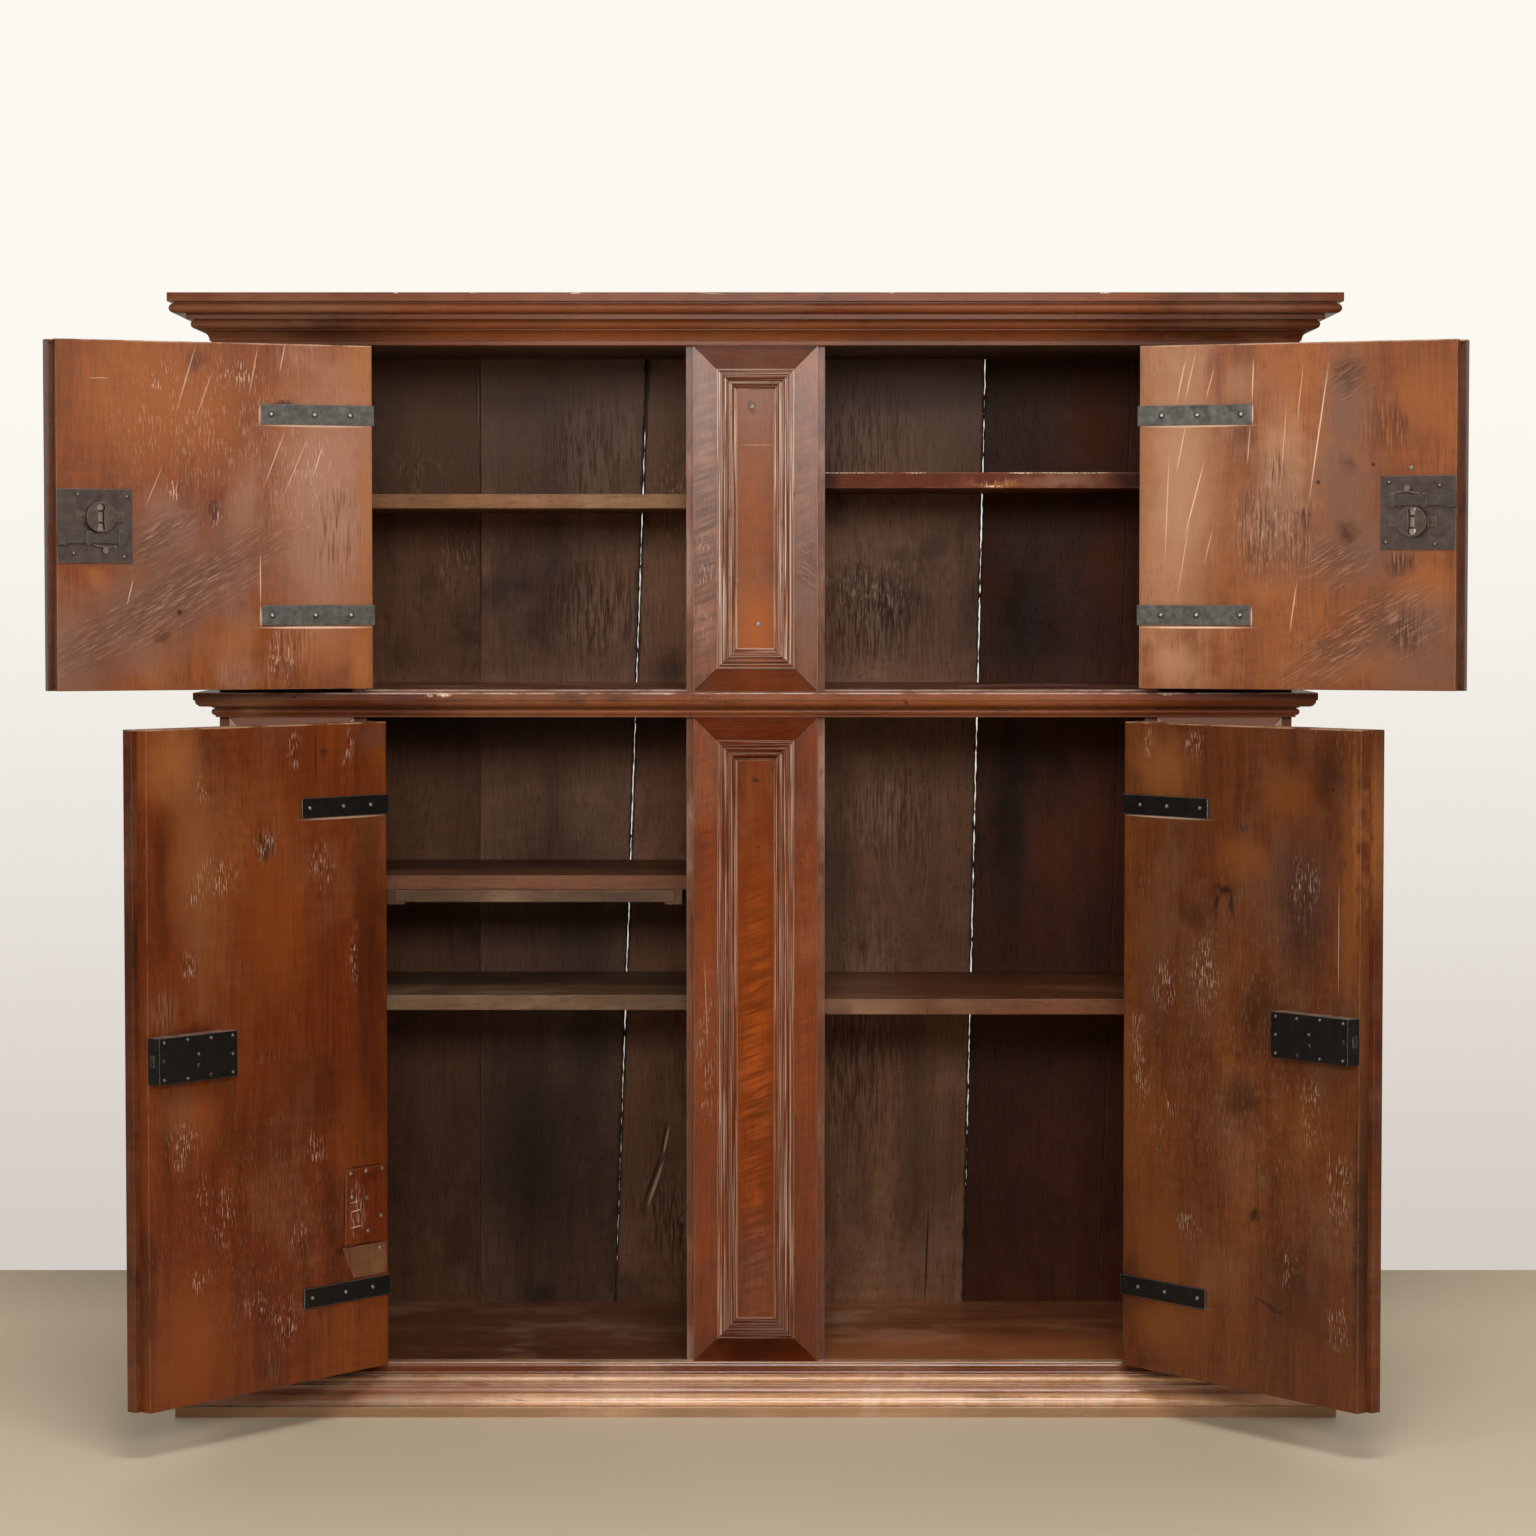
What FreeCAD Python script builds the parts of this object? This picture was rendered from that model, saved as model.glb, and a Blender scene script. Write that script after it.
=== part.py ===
# A two-tier walnut cupboard with four strap-hinged doors, standing open.
# X runs to the right, Y to the back and Z up, in millimetres.
# The origin is the middle of the footprint, on the underside of the centre bearer.
import FreeCAD, Part
import os

V = FreeCAD.Vector
UP = V(0, 0, 1)

# Carcase plan
half_width = 736.0
centre_post_width = 190.0
outer_post_width = 201.0
footprint_depth = 548.0
side_thickness = 20.0
partition_thickness = 20.0
plank_thickness = 20.0
post_thickness = 18.0

# Carcase levels
plinth_height = 66.0
floor_thickness = 20.0
waist_bottom = 955.0
waist_height = 34.0
mid_lift = 3.0
mid_thickness = 20.0
cornice_bottom = 1462.0
cornice_height = 68.0
ceiling_lift = 8.0
top_thickness = 22.0
bearer_width = 60.0

# Mouldings round the carcase
cornice_projection = 58.0
waist_projection = 30.0
plinth_projection = 57.0
cut_overrun = 10.0

# Doors
door_facing = 16.0
lap_clearance = 0.5
door_board = 18.0
closing_gap = 2.0
closing_lap = 8.5
hinge_gap = 5.5
door_top_gap = 3.5
lower_door_top_gap = 5.0
door_bottom_gap = 3.0
door_border = 80.0
door_moulding_width = 30.0
upper_left_angle = 157.0
upper_right_angle = 158.5
lower_left_angle = 129.5
lower_right_angle = 129.0

# Pilasters and the raised mouldings on them
centre_pilaster_margin = 10.0
outer_pilaster_margin = 15.5
pilaster_border = 32.5
moulding_width = 27.0
moulding_rise = 6.0
panel_thickness = 10.0

# Strap hinges
pivot_inset = 2.5
pivot_stand = 6.5
pin_radius = 2.5
running_clearance = 0.05
eye_radius = 5.5
strap_thickness = 2.5
strap_height = 27.0
upper_strap_length = 155.0
lower_strap_length = 160.0
upper_strap_from_foot = 99.5
upper_strap_from_head = 94.5
lower_strap_from_foot = 111.0
lower_strap_from_head = 112.0
pintle_height = 16.0
pintle_clearance = 0.3
pin_overtop = 3.0
strap_nail_radius = 3.4
strap_nail_rise = 1.6
strap_nail_shares = (0.20, 0.52, 0.91)

# Open rim locks of the upper doors
rim_plate_width = 101.0
rim_plate_height = 98.0
rim_plate_thickness = 2.0
upper_left_lock_level = 217.5
upper_right_lock_level = 235.5
key_backset = 57.0
key_rise = 12.0
key_cover_radius = 20.0
key_cover_wall = 2.0
key_cover_height = 12.0
cover_lug_reach = 12.0
cover_lug_height = 13.0
cover_lug_thickness = 2.0
keyhole_radius = 5.5
keyhole_slot = 8.0
keyhole_height = 36.0
keyhole_flare = 9.0
worn_keyhole_spread = 4.5
worn_keyhole_shift = 3.5
ward_height = 3.0
ward_shares = (0.22, -0.20)
rim_bolt_length = 94.0
rim_bolt_height = 14.0
rim_bolt_thickness = 5.0
rim_bolt_drop = 16.0
rim_bolt_head = 11.0
rim_bolt_head_height = 18.0
rim_bolt_head_rise = 3.0
bolt_clearance = 0.3
staple_width = 7.0
staple_wall = 2.0
staple_shares = (0.40, 0.86)
rivet_radius = 2.6
rivet_rise = 1.4
rim_rivet_shares = ((0.28, 0.425), (0.93, 0.40), (0.22, -0.365), (0.89, -0.41))
spring_thickness = 1.4
spring_depth = 5.0
spring_stud_backset = 64.0
spring_stud_drop = 9.0
spring_stud_radius = 4.0
spring_bend_backset = 77.5
spring_bend_drop = 3.0
spring_bend_radius = 1.6
spring_tip_backset = 47.0
spring_bow = 2.0

# Box locks of the lower doors
box_width = 135.0
box_height = 60.0
box_depth = 22.0
box_wall = 1.8
lower_left_lock_level = 456.0
lower_right_lock_level = 481.0
box_bolt_length = 74.0
box_bolt_height = 14.0
box_bolt_thickness = 7.0
box_bolt_seat = 5.0
box_rivet_shares = ((0.06, 0.40), (0.36, 0.42), (0.66, 0.40), (0.94, 0.40), (0.06, 0.0),
                    (0.94, 0.0), (0.06, -0.40), (0.36, -0.42), (0.66, -0.40), (0.94, -0.40),
                    (0.50, 0.08), (0.50, -0.16))

# Shelves: underside above the floor of the stage, thickness, and front edge behind the posts
upper_left_shelf_level = 251.0
upper_left_shelf_thickness = 20.0
upper_left_shelf_setback = 102.5
upper_right_shelf_level = 279.0
upper_right_shelf_thickness = 22.0
upper_right_shelf_setback = 90.5
lower_left_upper_shelf_level = 642.0
lower_left_upper_shelf_thickness = 20.0
lower_left_upper_shelf_setback = 102.5
lower_left_lower_shelf_level = 474.0
lower_left_lower_shelf_thickness = 21.0
lower_left_lower_shelf_setback = 85.5
lower_right_shelf_level = 473.0
lower_right_shelf_thickness = 21.5
lower_right_shelf_setback = 35.5
cleat_height = 20.0
cleat_width = 16.0
cleat_setback = 40.0

# Pull-out board under the lower left upper shelf
slide_outer_inset = 27.0
slide_inner_inset = 19.0
slide_thickness = 17.0
slide_back_gap = 37.0
slide_clearance = 0.5
runner_wall = 10.0
runner_ledge = 3.0
runner_grip = 14.0

# Back planks: seam places as shares of the half width, at the foot and at the top
seam_foot_shares = (-0.562, -0.290, 0.092, 0.418, 0.692)
seam_top_shares = (-0.556, -0.218, 0.095, 0.461, 0.756)
open_seam = 4.0
tight_seam = 0.8
seam_is_open = (False, True, False, True, False)

# Outlines as shares of projection and height, with the bulge of the stretch to the next point
cornice_shares = (
    (1.000, 1.000, 0), (1.000, 0.825, 0), (0.855, 0.825, 0), (0.855, 0.785, 0.5),
    (0.855, 0.600, 0), (0.610, 0.600, 0), (0.610, 0.490, 0), (0.410, 0.490, 0.5),
    (0.410, 0.310, 0), (0.360, 0.310, 0), (0.360, 0.285, -0.2), (0.130, 0.090, 0),
    (0.095, 0.090, 0), (0.095, 0, 0),
)
waist_shares = (
    (1.000, 1.000, 0), (1.000, 0.700, 0), (0.930, 0.700, 0), (0.930, 0.670, 0.22),
    (0.560, 0.440, 0), (0.270, 0.440, 0), (0.270, 0.400, 0), (0.100, 0.360, 0.5),
    (0.100, 0.080, 0), (0.100, 0, 0),
)
plinth_shares = (
    (0.060, 1.000, 0), (0.060, 0.970, -0.2), (0.280, 0.865, 0), (0.330, 0.865, 0.5),
    (0.330, 0.790, 0), (0.330, 0.775, 0), (0.480, 0.775, 0.5), (0.480, 0.650, 0),
    (0.480, 0.610, 0), (0.620, 0.610, 0), (0.620, 0.565, -0.15), (0.690, 0.455, 0),
    (0.710, 0.455, 0.22), (0.930, 0.235, 0), (0.880, 0.235, 0), (0.880, 0.210, 0),
    (1.000, 0.210, 0), (1.000, 0, 0),
)
# Raised moulding, from the panel outwards: shares of its width and of its full thickness
raised_shares = (
    (1.000, 0, 0), (1.000, 0.480, -0.15), (0.740, 0.700, 0), (0.740, 0.760, 0),
    (0.640, 0.760, 0), (0.600, 0.690, 0), (0.570, 0.790, 0.45), (0.240, 0.790, 0),
    (0.220, 0.790, 0), (0.220, 0.850, 0), (0, 0.850, 0),
)

# Places worked out from the driving dimensions
back_outer = footprint_depth / 2
back_inner = back_outer - plank_thickness
facing_front = plinth_projection - footprint_depth / 2
facing_thickness = door_facing + lap_clearance
post_front = facing_front + facing_thickness
post_back = post_front + post_thickness
side_inner = half_width - side_thickness
half_post = centre_post_width / 2
opening_edge = half_width - outer_post_width
half_partition = partition_thickness / 2
floor_top = plinth_height
floor_under = floor_top - floor_thickness
waist_top = waist_bottom + waist_height
mid_top = waist_top + mid_lift
mid_under = mid_top - mid_thickness
ceiling = cornice_bottom + ceiling_lift
top_face = ceiling + top_thickness
pivot_x = opening_edge - pivot_inset
pivot_y = facing_front - pivot_stand
board_front = facing_front + door_facing
board_back = board_front + door_board
board_hinge = opening_edge - hinge_gap
board_close = half_post + closing_gap
facing_close = board_close - closing_lap
lower_door = (floor_top + door_bottom_gap, waist_bottom - lower_door_top_gap)
upper_door = (mid_top + door_top_gap, cornice_bottom - door_top_gap)
half_pilaster = half_post - centre_pilaster_margin
outer_pilaster = (opening_edge + outer_pilaster_margin, half_width - outer_pilaster_margin)
pilaster_spans = {
    "left": (-outer_pilaster[1], -outer_pilaster[0]),
    "centre": (-half_pilaster, half_pilaster),
    "right": outer_pilaster,
}
open_angles = {
    "upper_left": upper_left_angle, "upper_right": upper_right_angle,
    "lower_left": lower_left_angle, "lower_right": lower_right_angle,
}
upper_strap_levels = (upper_door[0] + upper_strap_from_foot, upper_door[1] - upper_strap_from_head)
lower_strap_levels = (lower_door[0] + lower_strap_from_foot, lower_door[1] - lower_strap_from_head)
lock_levels = {
    "upper_left": upper_door[0] + upper_left_lock_level,
    "upper_right": upper_door[0] + upper_right_lock_level,
    "lower_left": lower_door[0] + lower_left_lock_level,
    "lower_right": lower_door[0] + lower_right_lock_level,
}
rim_flips = {"upper_left": 1, "upper_right": -1}
# Each shelf: its side, underside, thickness and front edge
shelf_places = {
    "upper_left_shelf": (-1, mid_top + upper_left_shelf_level, upper_left_shelf_thickness,
                         post_back + upper_left_shelf_setback),
    "upper_right_shelf": (1, mid_top + upper_right_shelf_level, upper_right_shelf_thickness,
                          post_back + upper_right_shelf_setback),
    "lower_left_upper_shelf": (-1, floor_top + lower_left_upper_shelf_level,
                               lower_left_upper_shelf_thickness,
                               post_back + lower_left_upper_shelf_setback),
    "lower_left_lower_shelf": (-1, floor_top + lower_left_lower_shelf_level,
                               lower_left_lower_shelf_thickness,
                               post_back + lower_left_lower_shelf_setback),
    "lower_right_shelf": (1, floor_top + lower_right_shelf_level, lower_right_shelf_thickness,
                          post_back + lower_right_shelf_setback),
}
slide_edges = (-(opening_edge - slide_outer_inset), -(half_post + slide_inner_inset))


def block(x0, x1, y0, y1, z0, z1):
    """Box between two corners."""
    return Part.makeBox(x1 - x0, y1 - y0, z1 - z0, V(x0, y0, z0))


def post(x, y, z, radius, height, direction=UP):
    """Round bar from a point along a direction."""
    return Part.makeCylinder(radius, height, V(x, y, z), direction)


def prism(points, z0, z1):
    """Upright prism on a plan outline."""
    corners = [V(x, y, z0) for x, y in points]
    face = Part.Face(Part.makePolygon(corners + corners[:1]))
    return face.extrude(V(0, 0, z1 - z0))


def outline_edges(points):
    """Edges through (point, bulge) pairs: a bulge is the arc's rise over its chord."""
    edges = []
    for (start, bulge), (end, _) in zip(points, points[1:]):
        if bulge:
            chord = end - start
            middle = (start + end) * 0.5 + across(chord) * bulge
            edges.append(Part.Arc(start, middle, end).toShape())
        else:
            edges.append(Part.LineSegment(start, end).toShape())
    return edges


def across(chord):
    """The chord turned a quarter turn in the YZ plane, to the outer side of the outline."""
    return V(0, chord.z, -chord.y)


def moulding_face(shares, projection, height, bottom, backing):
    """Section in the YZ plane: the outline stands out towards -Y from y = 0."""
    points = [(V(0, -projection * out, bottom + height * up), bulge) for out, up, bulge in shares]
    points.append((V(0, backing, bottom), 0))
    points.append((V(0, backing, bottom + height), 0))
    points.append(points[0])
    return Part.Face(Part.Wire(outline_edges(points)))


def moulding_set(name, shares, projection, height, bottom):
    """Front moulding and its two returns, mitred at the corners of the carcase."""
    reach = half_width + projection
    length = 2 * (reach + cut_overrun)
    front = moulding_face(shares, projection, height, bottom, facing_thickness)
    front.translate(V(-length / 2, facing_front, 0))
    front = front.extrude(V(length, 0, 0))
    end = projection + cut_overrun
    low = bottom - cut_overrun
    high = bottom + height + cut_overrun
    plan = [
        (half_width, post_front + cut_overrun), (half_width, facing_front),
        (half_width + end, facing_front - end),
        (half_width + end + cut_overrun, facing_front - end),
        (half_width + end + cut_overrun, post_front + cut_overrun),
    ]
    for side in (-1, 1):
        front = front.cut(prism([(side * x, y) for x, y in plan], low, high))
    run = back_outer - facing_front + projection
    side_face = moulding_face(shares, projection, height, bottom, 0)
    side_face.rotate(V(0, 0, 0), UP, 90)
    side_face.translate(V(half_width, facing_front - projection, 0))
    right = side_face.extrude(V(0, run, 0))
    corner = [
        (half_width - cut_overrun, facing_front + cut_overrun),
        (half_width + end, facing_front - end),
        (half_width - cut_overrun, facing_front - end),
    ]
    right = right.cut(prism(corner, low, high))
    return {
        name + "_front": front,
        name + "_right": right,
        name + "_left": mirrored(right),
    }


def mirrored(shape):
    """The same piece on the other side of the cupboard."""
    return shape.mirror(V(0, 0, 0), V(1, 0, 0))


def mitred_bar(section, length, width):
    """Bar along X on a section in the YZ plane, its ends mitred towards +Y."""
    bar = section.extrude(V(length, 0, 0))
    plan = [(0, 0), (length, 0), (length - width, width), (width, width)]
    return bar.common(prism(plan, -cut_overrun, facing_thickness + moulding_rise + cut_overrun))


def bar_section(width, thickness):
    """Plain rectangular section."""
    corners = [V(0, 0, 0), V(0, width, 0), V(0, width, thickness), V(0, 0, thickness)]
    return Part.Face(Part.makePolygon(corners + corners[:1]))


def raised_section(width, thickness):
    """Section of the raised moulding, lying on z = 0 with its outer edge at y = 0."""
    points = [(V(0, width * over, thickness * up), bulge) for over, up, bulge in raised_shares]
    points.append((V(0, 0, 0), 0))
    points.append(points[0])
    return Part.Face(Part.Wire(outline_edges(points)))


def mitred_ring(section_maker, thickness, width, x0, x1, z0, z1, back):
    """Four mitred bars round a rectangle, standing out from y = back towards -Y."""
    bars = []
    wide = x1 - x0
    tall = z1 - z0
    for turn, length in ((0, wide), (1, tall), (2, wide), (3, tall)):
        bar = mitred_bar(section_maker(width, thickness), length, width)
        bar.translate(V(-length / 2, -(tall if turn % 2 == 0 else wide) / 2, 0))
        bar.rotate(V(0, 0, 0), UP, 90 * turn)
        bar.rotate(V(0, 0, 0), V(1, 0, 0), 90)
        bar.translate(V((x0 + x1) / 2, back, (z0 + z1) / 2))
        bars.append(bar)
    return bars


def framed_front(x0, x1, z0, z1, back, thickness, border, raised_width):
    """Mitred frame, raised mitred moulding inside it, and the sunk panel."""
    pieces = mitred_ring(bar_section, thickness, border, x0, x1, z0, z1, back)
    x0, x1, z0, z1 = x0 + border, x1 - border, z0 + border, z1 - border
    pieces += mitred_ring(raised_section, thickness + moulding_rise, raised_width, x0, x1, z0, z1, back)
    x0, x1, z0, z1 = x0 + raised_width, x1 - raised_width, z0 + raised_width, z1 - raised_width
    pieces.append(block(x0, x1, back - panel_thickness, back, z0, z1))
    return Part.makeCompound(pieces)


def carcase_boards():
    """Sides, floors, top, partitions, posts, bearer and back planks."""
    nodes = {}
    nodes["side_right"] = block(side_inner, half_width, post_back, back_inner, 0, ceiling)
    nodes["side_left"] = mirrored(nodes["side_right"])
    nodes["post_centre"] = block(-half_post, half_post, post_front, post_back, 0, ceiling)
    nodes["post_right"] = block(opening_edge, half_width, post_front, post_back, 0, ceiling)
    nodes["post_left"] = mirrored(nodes["post_right"])
    nodes["floor_board"] = notched_board(floor_under, floor_top)
    nodes["mid_board"] = notched_board(mid_under, mid_top)
    nodes["top_board"] = block(-half_width, half_width, post_front, back_inner, ceiling, top_face)
    partition = (-half_partition, half_partition, post_back, back_inner)
    nodes["partition_lower"] = block(*partition, floor_top, mid_under)
    nodes["partition_upper"] = block(*partition, mid_top, ceiling)
    half_bearer = bearer_width / 2
    nodes["centre_bearer"] = block(-half_bearer, half_bearer, post_back, back_inner, 0, floor_under)
    nodes["back_planks"] = back_planks()
    return nodes


def notched_board(z0, z1):
    """Board that reaches the front between the posts and runs behind them."""
    board = block(-side_inner, side_inner, post_front, back_inner, z0, z1)
    low = z0 - cut_overrun
    high = z1 + cut_overrun
    front = post_front - cut_overrun
    board = board.cut(block(-half_post, half_post, front, post_back, low, high))
    for side in (-1, 1):
        corner = block(opening_edge, half_width, front, post_back, low, high)
        board = board.cut(corner if side > 0 else mirrored(corner))
    return board


def back_planks():
    """Six tapering planks nailed over the back, with open seams between some of them."""
    feet = [-1] + list(seam_foot_shares) + [1]
    tops = [-1] + list(seam_top_shares) + [1]
    gaps = [0] + [open_seam if wide else tight_seam for wide in seam_is_open] + [0]
    planks = []
    for number in range(len(feet) - 1):
        left, right = gaps[number] / 2, gaps[number + 1] / 2
        corners = [
            V(feet[number] * half_width + left, back_inner, 0),
            V(feet[number + 1] * half_width - right, back_inner, 0),
            V(tops[number + 1] * half_width - right, back_inner, top_face),
            V(tops[number] * half_width + left, back_inner, top_face),
        ]
        face = Part.Face(Part.makePolygon(corners + corners[:1]))
        planks.append(face.extrude(V(0, plank_thickness, 0)))
    return Part.makeCompound(planks)


def shelves():
    """Shelves from side to partition, with a cleat under each end."""
    nodes = {}
    cleats = []
    for name, (side, level, thickness, front) in shelf_places.items():
        shelf = block(half_partition, side_inner, front, back_inner, level, level + thickness)
        cleat_front = front + cleat_setback
        under = level - cleat_height
        pair = [
            block(half_partition, half_partition + cleat_width, cleat_front, back_inner, under, level),
            block(side_inner - cleat_width, side_inner, cleat_front, back_inner, under, level),
        ]
        if side < 0:
            shelf = mirrored(shelf)
            pair = [mirrored(cleat) for cleat in pair]
        nodes[name] = shelf
        cleats += pair
    nodes["shelf_cleats"] = Part.makeCompound(cleats)
    return nodes


def pull_out_board():
    """Thin board that slides on two runners hung under a shelf."""
    _, level, _, front = shelf_places["lower_left_upper_shelf"]
    top = level - slide_clearance
    under = top - slide_thickness
    back = back_inner - slide_back_gap
    board = block(*slide_edges, front, back, under, top)
    ledge_top = under - slide_clearance
    runners = []
    for edge, way in zip(slide_edges, (-1, 1)):
        inner = edge + way * slide_clearance
        outer = inner + way * runner_wall
        grip = edge - way * runner_grip
        wall = block(min(inner, outer), max(inner, outer), front, back, ledge_top, level)
        ledge = block(min(grip, outer), max(grip, outer), front, back, ledge_top - runner_ledge, ledge_top)
        runners.append(wall.fuse(ledge).removeSplitter())
    return {"pull_out_board": board, "board_runners": Part.makeCompound(runners)}


def pilasters():
    """Framed facings on the six stretches of post."""
    nodes = {}
    for tier, z0, z1 in (("upper", waist_top, cornice_bottom), ("lower", plinth_height, waist_bottom)):
        for place, (x0, x1) in pilaster_spans.items():
            facing = framed_front(x0, x1, z0, z1, post_front, facing_thickness, pilaster_border,
                                  moulding_width)
            nodes["pilaster_" + tier + "_" + place] = facing
    return nodes


def keyhole(x, z, front, back, flip, spread=0):
    """Key-shaped cutter through a door: a round head, a slot and a flared foot, all wider by the spread."""
    slot_half = keyhole_slot / 2 + spread
    radius = keyhole_radius + spread
    half = keyhole_height / 2 + spread / 2
    depth = back - front
    along = V(0, 1, 0)
    head = post(x, front, z + flip * (half - radius), radius, depth, along)
    foot = z - flip * half
    step = z - flip * (half - keyhole_flare)
    neck = z + flip * (half - radius)
    slot = block(x - slot_half, x + slot_half, front, back, min(foot, neck), max(foot, neck))
    corners = [
        V(x - slot_half, front, step), V(x + slot_half, front, step),
        V(x + radius, front, foot), V(x - radius, front, foot),
    ]
    flare = Part.Face(Part.makePolygon(corners + corners[:1])).extrude(V(0, depth, 0))
    return head.fuse(slot).fuse(flare)


def straps(levels, length):
    """Strap leaves on the inner face, bent round the hinge edge to the eyes, with their nails."""
    pieces = []
    half = strap_height / 2
    inner = board_back + strap_thickness
    edge = board_hinge + strap_thickness
    for level in levels:
        leaf = block(board_hinge - length, edge, board_back, inner, level - half, level + half)
        fold = block(board_hinge, edge, pivot_y, inner, level - half, level + half)
        eye = post(pivot_x, pivot_y, level - half, eye_radius, strap_height)
        bore = post(pivot_x, pivot_y, level - half, pin_radius + running_clearance, strap_height)
        strap = leaf.fuse(fold).fuse(eye).removeSplitter().cut(bore)
        pieces.append(strap)
        for share in strap_nail_shares:
            pieces.append(nail_head(board_hinge - length * share, inner, level, strap_nail_radius,
                                    strap_nail_rise))
    return Part.makeCompound(pieces)


def nail_head(x, y, z, radius, rise):
    """Low domed head standing on a face that looks towards +Y."""
    return Part.makeCone(radius, radius / 2, rise, V(x, y, z), V(0, 1, 0))


def rim_lock(level, flip):
    """Open rim lock: plate with staples and rivets, key cover, spring and bolt."""
    x0 = board_close
    x1 = x0 + rim_plate_width
    face = board_back + rim_plate_thickness
    half = rim_plate_height / 2
    key_x = x0 + key_backset
    key_z = level + flip * key_rise
    hole = keyhole(key_x, key_z, board_back - cut_overrun,
                   face + key_cover_height + cut_overrun, flip)
    worn_hole = keyhole(key_x - worn_keyhole_shift, key_z, facing_front - cut_overrun,
                        board_back + cut_overrun, flip, worn_keyhole_spread)
    plate = block(x0, x1, board_back, face, level - half, level + half)
    plate = plate.cut(hole.cut(wards(key_x, key_z, face, flip)))
    bolt_z = level - flip * rim_bolt_drop
    plate_pieces = [plate]
    for share in staple_shares:
        plate_pieces.append(staple(x0 + rim_bolt_length * share, face, bolt_z, rim_bolt_height,
                                   rim_bolt_thickness))
    for over, up in rim_rivet_shares:
        plate_pieces.append(nail_head(x0 + rim_plate_width * over, face,
                                      level + flip * rim_plate_height * up, rivet_radius, rivet_rise))
    return worn_hole, {
        "lock_plate": Part.makeCompound(plate_pieces),
        "key_cover": key_cover(key_x, face, key_z, hole),
        "lock_bolt": rim_bolt(x0, face + bolt_clearance, bolt_z),
        "lock_spring": lock_spring(x0, face, bolt_z, flip),
    }


def wards(x, z, face, flip):
    """Two bars of the plate that stay across the keyhole, which the key's bit is slotted for."""
    bars = []
    for share in ward_shares:
        middle = z + flip * keyhole_height * share
        bars.append(block(x - keyhole_radius, x + keyhole_radius, board_back, face,
                          middle - ward_height / 2, middle + ward_height / 2))
    return Part.makeCompound(bars)


def key_cover(x, face, z, hole):
    """Round cup over the key's path, with a riveted lug on either side."""
    along = V(0, 1, 0)
    cup = post(x, face, z, key_cover_radius, key_cover_height, along)
    hollow = post(x, face, z, key_cover_radius - key_cover_wall, key_cover_height - key_cover_wall, along)
    reach = key_cover_radius + cover_lug_reach
    half = cover_lug_height / 2
    lugs = block(x - reach, x + reach, face, face + cover_lug_thickness, z - half, z + half)
    cover = cup.fuse(lugs).cut(hollow)
    for side in (-1, 1):
        rivet_x = x + side * (key_cover_radius + cover_lug_reach / 2)
        cover = cover.fuse(nail_head(rivet_x, face + cover_lug_thickness, z, rivet_radius, rivet_rise))
    return cover.removeSplitter().cut(hole)


def staple(x, face, z, height, thickness):
    """Bridge over the bolt, standing on the plate."""
    inner = height / 2 + bolt_clearance
    outer = inner + staple_wall
    top = face + thickness + 2 * bolt_clearance
    bridge = block(x, x + staple_width, face, top + staple_wall, z - outer, z + outer)
    return bridge.cut(block(x, x + staple_width, face, top, z - inner, z + inner))


def rim_bolt(x0, y0, z):
    """Flat bolt with a larger, thicker head at the closing edge."""
    half = rim_bolt_height / 2
    head_half = rim_bolt_head_height / 2
    y1 = y0 + rim_bolt_thickness
    bar = block(x0, x0 + rim_bolt_length, y0, y1, z - half, z + half)
    head = block(x0, x0 + rim_bolt_head, y0, y1 + rim_bolt_head_rise, z - head_half, z + head_half)
    return bar.fuse(head).removeSplitter()


def leaf_strip(start, middle, end, drop):
    """Thin curved strip through three points, as thick as the drop and standing on the plate."""
    outer = Part.Arc(start, middle, end).toShape()
    inner = Part.Arc(start + drop, middle + drop, end + drop).toShape()
    ends = [
        Part.LineSegment(end, end + drop).toShape(),
        Part.LineSegment(start + drop, start).toShape(),
    ]
    face = Part.Face(Part.Wire(Part.__sortEdges__([outer, ends[0], inner, ends[1]])))
    return face.extrude(V(0, spring_depth, 0))


def lock_spring(x0, face, bolt_z, flip):
    """Hairpin spring: a leg from its stud to the bend, and a long leg back to the bolt."""
    along = V(0, 1, 0)
    seat = bolt_z - flip * (rim_bolt_height / 2 + bolt_clearance)
    stud_x = x0 + spring_stud_backset
    stud_z = seat - flip * spring_stud_drop
    bend = V(x0 + spring_bend_backset, face, seat - flip * spring_bend_drop)
    tip = V(x0 + spring_tip_backset, face, seat)
    drop = V(0, 0, -flip * spring_thickness)
    bow = V(0, 0, -flip * spring_bow)
    long_leg = leaf_strip(bend, (bend + tip) * 0.5 + bow, tip, drop)
    foot = V(stud_x, face, stud_z)
    short_leg = leaf_strip(bend, (bend + foot) * 0.5 - bow, foot, drop)
    turn = post(bend.x, face, bend.z + drop.z / 2, spring_bend_radius, spring_depth, along)
    stud = post(stud_x, face, stud_z, spring_stud_radius, spring_depth + rivet_rise, along)
    return long_leg.fuse(short_leg).fuse(turn).fuse(stud).removeSplitter()


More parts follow.
